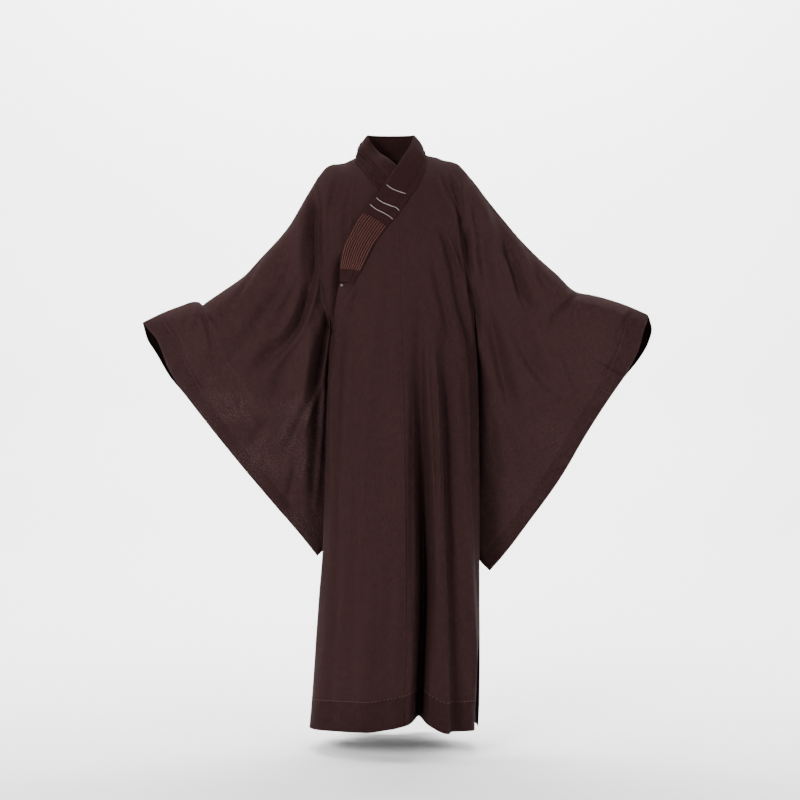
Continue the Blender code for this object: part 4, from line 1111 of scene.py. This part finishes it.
def make_band(looks):
    shares, across = even(380), even(33)
    grid = band_grid(shares, across)
    table = np.array(EDGE_SETTLE)
    settle = np.stack([np.interp(shares, table[:, 0], table[:, k]) for k in (1, 2, 3)], axis=1) / 1000
    for _ in range(12):
        settle[1:-1] = (settle[:-2] + 2 * settle[1:-1] + settle[2:]) / 4
    grid = grid + settle[:, None, :] * (smooth(1 - across / 0.45) ** 1.2)[None, :, None]
    out = normals(grid)
    if out[:150, :, 1].mean() > 0:
        out = -out
    a = across[None, :]
    # rolled edges, a stitched channel inside the sewn edge, slight puffing between
    shape = -0.0012 * np.abs(2 * a - 1) ** 10
    shape = shape - 0.0019 * np.exp(-((a - 0.24) / 0.035) ** 2) + 0.0006 * np.exp(-((a - 0.12) / 0.07) ** 2)
    s = shares[:, None] * 0.845
    ripple = 0.0004 * np.sin(s * 190 + 3 * np.sin(s * 23)) * np.exp(-((a - 0.22) / 0.12) ** 2)
    sag = 0.0006 * np.sin(s * 31 + 1.3) * (1 - np.abs(2 * a - 1) ** 2)
    # soft diagonal wrinkles on the under side of the crossing
    under = smooth((shares[:, None] - 0.70) / 0.08)
    gather = -0.0028 * under * sum(np.exp(-((a - at) / 0.030) ** 2) for at in (0.13, 0.36, 0.47))
    pucker = gather + 0.0014 * under * np.sin(9.0 * a + 14 * s + 1.2 * np.sin(s * 60)) * np.sin(math.pi * a)
    grid = grid + out * (shape + ripple + sag + pucker)[..., None]
    # the seam allowance turns in under the sewn edge
    neck = smooth((shares - 0.31) / 0.06) * smooth((0.88 - shares) / 0.05)
    depth = (0.0012 + 0.0088 * neck)[:, None]
    turned = [grid[:, 0] - out[:, 0] * depth * share for share in (1.0, 0.6, 0.25)]
    whole = np.concatenate([np.stack(turned, axis=1), grid], axis=1)
    obj = cloth("robe_collar", [(whole, False)], looks["band"], 0.0022, inward=False)
    return obj, grid, out, shares, across


def on_band(band, u, v):
    """Point of the collar that shows at (u, v), and the way it faces."""
    grid, out = band
    x, z = spot(u, v, -0.115)
    near = np.hypot(grid[:150, :, 0] - x, grid[:150, :, 2] - z)
    i, k = np.unravel_index(np.argmin(near), near.shape)
    p = grid[i, k].copy()
    p[0], p[2] = x, z
    return p, out[i, k]


def make_collar_lines(band, looks):
    runs = []
    for path in PALE_LINES:
        pts = along([(u, v, 0) for u, v in path], even(28))
        at = [on_band(band, u, v) for u, v, _ in pts]
        p = np.array([a[0] for a in at])
        n = np.array([a[1] for a in at])
        for _ in range(6):                              # even out the depth along the line
            p[1:-1, 1] = (p[:-2, 1] + 2 * p[1:-1, 1] + p[2:, 1]) / 4
            n[1:-1] = (n[:-2] + n[1:-1] + n[2:]) / 3
        n /= np.linalg.norm(n, axis=1, keepdims=True)
        p = p + n * 0.0026
        runs.append((p, n))
    return threads("collar_pale_lines", runs, looks["pale"], 0.00055, 0.7, 8)


def make_collar_stitches(points, out, across, looks):
    """The row of stitching inside the band's sewn edge."""
    k = int(np.argmin(np.abs(across - 0.24)))
    line = points[2:-2, k] + out[2:-2, k] * 0.0023
    runs = dashes(line, out[2:-2, k], 0.0032, 0.0010, 0.0001)
    return threads("collar_stitches", runs, looks["dark_thread"], 0.00045, 0.8, 5)


def make_patch(looks):
    """The stitched patch: a quilted piece with close rows of thread along the band."""
    shares, across = even(150, PATCH_FROM, PATCH_TO + 0.009), even(113, 0.012, 0.955)
    grid = band_grid(shares, across)
    a = (across[None, :] - 0.012) / 0.943
    s = np.linspace(0, 1, len(shares))[:, None]
    # the upper edge runs across the band a little aslant, lower at the sewn edge
    for k in range(grid.shape[1]):
        at = s[:, 0] * (1 - 0.19 * (1 - a[0, k]))
        grid[:, k] = np.stack([np.interp(at, s[:, 0], grid[:, k, c]) for c in range(3)], axis=1)
    out = normals(grid)
    if out[..., 1].mean() > 0:
        out = -out
    rows = 11
    wave = 0.5 - 0.5 * np.cos(2 * math.pi * rows * a)
    rim = np.minimum(1, np.minimum(a, 1 - a) / 0.02) * np.minimum(1, np.minimum(s, 1 - s) / 0.03)
    lift = 0.0024 + 0.0010 * wave * (0.88 + 0.12 * np.sin(2 * math.pi * 17 * s)) * rim
    top = grid + out * lift[..., None]
    obj = cloth("collar_patch_cloth", [(top, False)], looks["patch"], 0.0006, inward=False)
    runs = []
    for r in range(rows):
        k = int(np.argmin(np.abs(across - (0.012 + 0.943 * (r + 0.5) / rows))))
        line = top[3:-3, k] + out[3:-3, k] * 0.0008
        runs.append((line, out[3:-3, k]))
    stitches = threads("collar_patch_stitches", runs, looks["rust"], 0.00082, 0.8)
    return obj, stitches


# ------------------------------------------------------------ sewn lines
def hem_line(grid, above, flip):
    """A row of points at a height above the hem, right across a panel."""
    out = normals(grid)
    if flip:
        out = -out
    pts, ways = [], []
    for i in range(grid.shape[0]):
        column_z = grid[i, :, 2]
        want = column_z[-1] + above
        k = int(np.argmin(np.abs(column_z[-60:] - want))) + len(column_z) - 60
        k0, k1 = (k, k - 1) if column_z[k] <= want else (k + 1, k)
        k0, k1 = min(k0, len(column_z) - 1), max(k1, 0)
        t = 0.0 if column_z[k1] == column_z[k0] else (want - column_z[k0]) / (column_z[k1] - column_z[k0])
        pts.append(grid[i, k0] + (grid[i, k1] - grid[i, k0]) * np.clip(t, 0, 1))
        ways.append(out[i, k0])
    return np.array(pts), np.array(ways)


def make_hem(grids, looks):
    runs = []
    for grid, front in grids:
        pts, out = hem_line(grid, 0.070, False)
        if front and out[:, 1].mean() > 0 or not front and out[:, 1].mean() < 0:
            out = -out
        pts = pts + out * 0.0005
        runs += dashes(pts, out, 0.0042, 0.0052, 0.0002)
    return threads("hem_stitches", runs, looks["hem_thread"], 0.00045, 0.8, 5)


CUFF_STITCHES = {
    "right": [[(160.5, 315), (168, 328), (177, 341), (185, 362), (193, 377), (201, 391), (209, 409)],
              [(182, 389.5), (190, 388), (201, 385.5)]],
    "left": [[(628, 318), (622, 340), (612, 366), (601, 388)], [(601, 388), (606, 391), (611, 394)]],
}


def make_cuff_lines(name, side, grid, looks):
    """Rows of stitching where the facings are turned in, placed as they are seen."""
    out = normals(grid)
    if out[..., 1].mean() > 0:
        out = -out
    scale = 1757 / (4.2 + grid[..., 1])
    across = 400 + (grid[..., 0] - 0.017) * scale
    down = 400 - (grid[..., 2] + 0.574) * scale
    runs = []
    for path in CUFF_STITCHES[side]:
        pts, ways = [], []
        for u, v, _ in along([(u, v, 0) for u, v in path], even(60)):
            far = np.hypot(across - u, down - v)
            near = far < 3.5
            weight = np.exp(-(far[near] / 1.2) ** 2)[:, None]
            pts.append((grid[near] * weight).sum(axis=0) / weight.sum())
            ways.append((out[near] * weight).sum(axis=0) / weight.sum())
        pts, ways = np.array(pts), np.array(ways)
        for _ in range(4):
            pts[1:-1] = (pts[:-2] + 2 * pts[1:-1] + pts[2:]) / 4
        ways /= np.linalg.norm(ways, axis=1, keepdims=True)
        runs += dashes(pts + ways * 0.0007, ways, 0.0034, 0.0022, 0.0002)
    return threads(name, runs, looks["cuff_thread"], 0.00045, 0.8, 5)


# ------------------------------------------------------------ stage
def make_stage():
    white = bpy.data.materials.new("plain_floor")
    white.use_nodes = True
    shader = white.node_tree.nodes["Principled BSDF"]
    shader.inputs["Base Color"].default_value = (0.86, 0.86, 0.86, 1)
    shader.inputs["Roughness"].default_value = 0.9
    shader.inputs["Specular IOR Level"].default_value = 0.1
    # a floor that turns up into a plain wall well behind the robe
    profile = [(-9.0, 0.0), (1.6, 0.0), (2.6, 0.06), (3.3, 0.32), (3.75, 0.9), (3.9, 1.8), (3.9, 7.0)]
    work = bmesh.new()
    rows = [[work.verts.new((x, y, FLOOR_Z + z)) for x in (-11.0, 0.0, 11.0)] for y, z in profile]
    for a, b in zip(rows, rows[1:]):
        for k in range(2):
            work.faces.new((a[k], a[k + 1], b[k + 1], b[k]))
    mesh = bpy.data.meshes.new("floor")
    work.to_mesh(mesh)
    work.free()
    mesh.materials.append(white)
    floor = bpy.data.objects.new("floor", mesh)
    bpy.context.scene.collection.objects.link(floor)
    mesh.shade_smooth()

    world = bpy.data.worlds.new("plain")
    world.use_nodes = True
    world.node_tree.nodes["Background"].inputs["Color"].default_value = (1.0, 1.0, 1.0, 1)
    world.node_tree.nodes["Background"].inputs["Strength"].default_value = 0.34
    bpy.context.scene.world = world

    def lamp(name, place, aim, power, width, height):
        data = bpy.data.lights.new(name, "AREA")
        data.shape = "RECTANGLE"
        data.size, data.size_y, data.energy = width, height, power
        made = bpy.data.objects.new(name, data)
        made.location = place
        made.rotation_euler = (Vector(aim) - Vector(place)).to_track_quat("-Z", "Y").to_euler()
        bpy.context.scene.collection.objects.link(made)

    lamp("key", (-2.1, -3.7, 1.0), (0, 0, -0.7), 242, 1.0, 1.0)
    lamp("fill", (2.4, -3.6, 0.7), (0, 0, -0.7), 92, 1.6, 1.6)
    lamp("top", (0.2, -0.9, 2.8), (0, 0, -0.6), 24, 1.6, 1.2)
    lamp("wall", (0.0, 1.5, 2.8), (0, 3.9, -0.2), 760, 5.0, 0.8)
    lamp("floor_left", (-3.2, 0.4, 1.2), (-1.2, 2.4, -1.4), 110, 1.5, 1.5)
    lamp("floor_right", (3.2, 0.4, 1.2), (1.2, 2.4, -1.4), 110, 1.5, 1.5)


def make_camera():
    data = bpy.data.cameras.new("camera")
    data.sensor_width = 36
    data.lens = 36 * 1757 / 800
    data.clip_end = 60
    camera = bpy.data.objects.new("camera", data)
    camera.location = (0.017, -4.2, -0.574)
    camera.rotation_euler = (math.pi / 2, 0, 0)
    bpy.context.scene.collection.objects.link(camera)
    bpy.context.scene.camera = camera


# ------------------------------------------------------------ main
def main():
    make_camera()
    make_stage()
    looks = dict(
        cloth=woven("robe_weave", (0.0148, 0.0068, 0.0067), (0.0258, 0.0121, 0.0120), 0.92, 0.002, (0.75, 0.60, 0.55)),
        # lighter copy of the robe's weave for the sleeves: painted light
        sleeve=woven("sleeve_weave_painted_light", (0.0158, 0.0074, 0.0073), (0.0314, 0.0153, 0.0151), 0.92, 0.002, (0.75, 0.60, 0.55), painted_glints=0.75),
        band=woven("collar_weave", (0.0118, 0.0049, 0.0048), (0.0195, 0.0082, 0.0080), 0.92, 0.004, (0.75, 0.60, 0.55), 0.0010),
        patch=woven("patch_weave", (0.0120, 0.0050, 0.0047), (0.0190, 0.0080, 0.0075), 0.92, 0.004, (0.8, 0.6, 0.55), 0.0010),
        # darker copy of the robe's weave for the shells' inner faces: painted shade
        inside=woven("inside_painted_shade_weave", (0.0052, 0.0026, 0.0026), (0.0085, 0.0044, 0.0044), 0.94, 0.0, (0.75, 0.60, 0.55)),
        rust=thread_material("rust_thread", (0.085, 0.031, 0.026)),
        pale=thread_material("pale_thread", (0.34, 0.30, 0.28)),
        hem_thread=thread_material("hem_thread", (0.090, 0.060, 0.055)),
        cuff_thread=thread_material("cuff_thread", (0.046, 0.028, 0.026)),
        dark_thread=thread_material("dark_thread", (0.0080, 0.0032, 0.0032)),
    )
    slots = {}
    panels, grids = make_panels(looks)
    right, right_front, right_back, ps, qs = make_fine_sleeve("robe_sleeve_right", RIGHT_SLEEVE, "left", looks["sleeve"], looks["inside"])
    left, left_front, left_back, _, _ = make_fine_sleeve("robe_sleeve_left", LEFT_SLEEVE, "right", looks["sleeve"], looks["inside"])
    collar, band_points, band_out, shares, across = make_band(looks)
    lines = make_collar_lines((band_points, band_out), looks)
    seam_row = make_collar_stitches(band_points, band_out, across, looks)
    patch, patch_rows = make_patch(looks)
    hem = make_hem([(grids["left"], True), (grids["over"], True), (grids["back"], False)], looks)
    cuff_right = make_cuff_lines("cuff_stitches_right", "right", right_front, looks)
    cuff_left = make_cuff_lines("cuff_stitches_left", "left", left_front, looks)

    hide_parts("front_left")
    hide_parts("front_overlap")
    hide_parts("front_right")
    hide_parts("back")
    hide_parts("sleeve_right")
    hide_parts("sleeve_left")
    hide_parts("collar")
    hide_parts("collar_patch")
    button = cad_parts["button"]
    for slot_ in button.material_slots:
        slot_.material = button_material()

    for obj in list(panels.values()) + [right, left, hem, cuff_right, cuff_left]:
        slots[obj] = "robe_cloth"
    for obj in (collar, lines, seam_row):
        slots[obj] = "collar_cloth"
    for obj in (patch, patch_rows):
        slots[obj] = "patch_cloth"
    for obj, name in slots.items():
        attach(obj, "root")

    bpy.context.view_layer.update()


FLOOR_Z = -1.405
main()
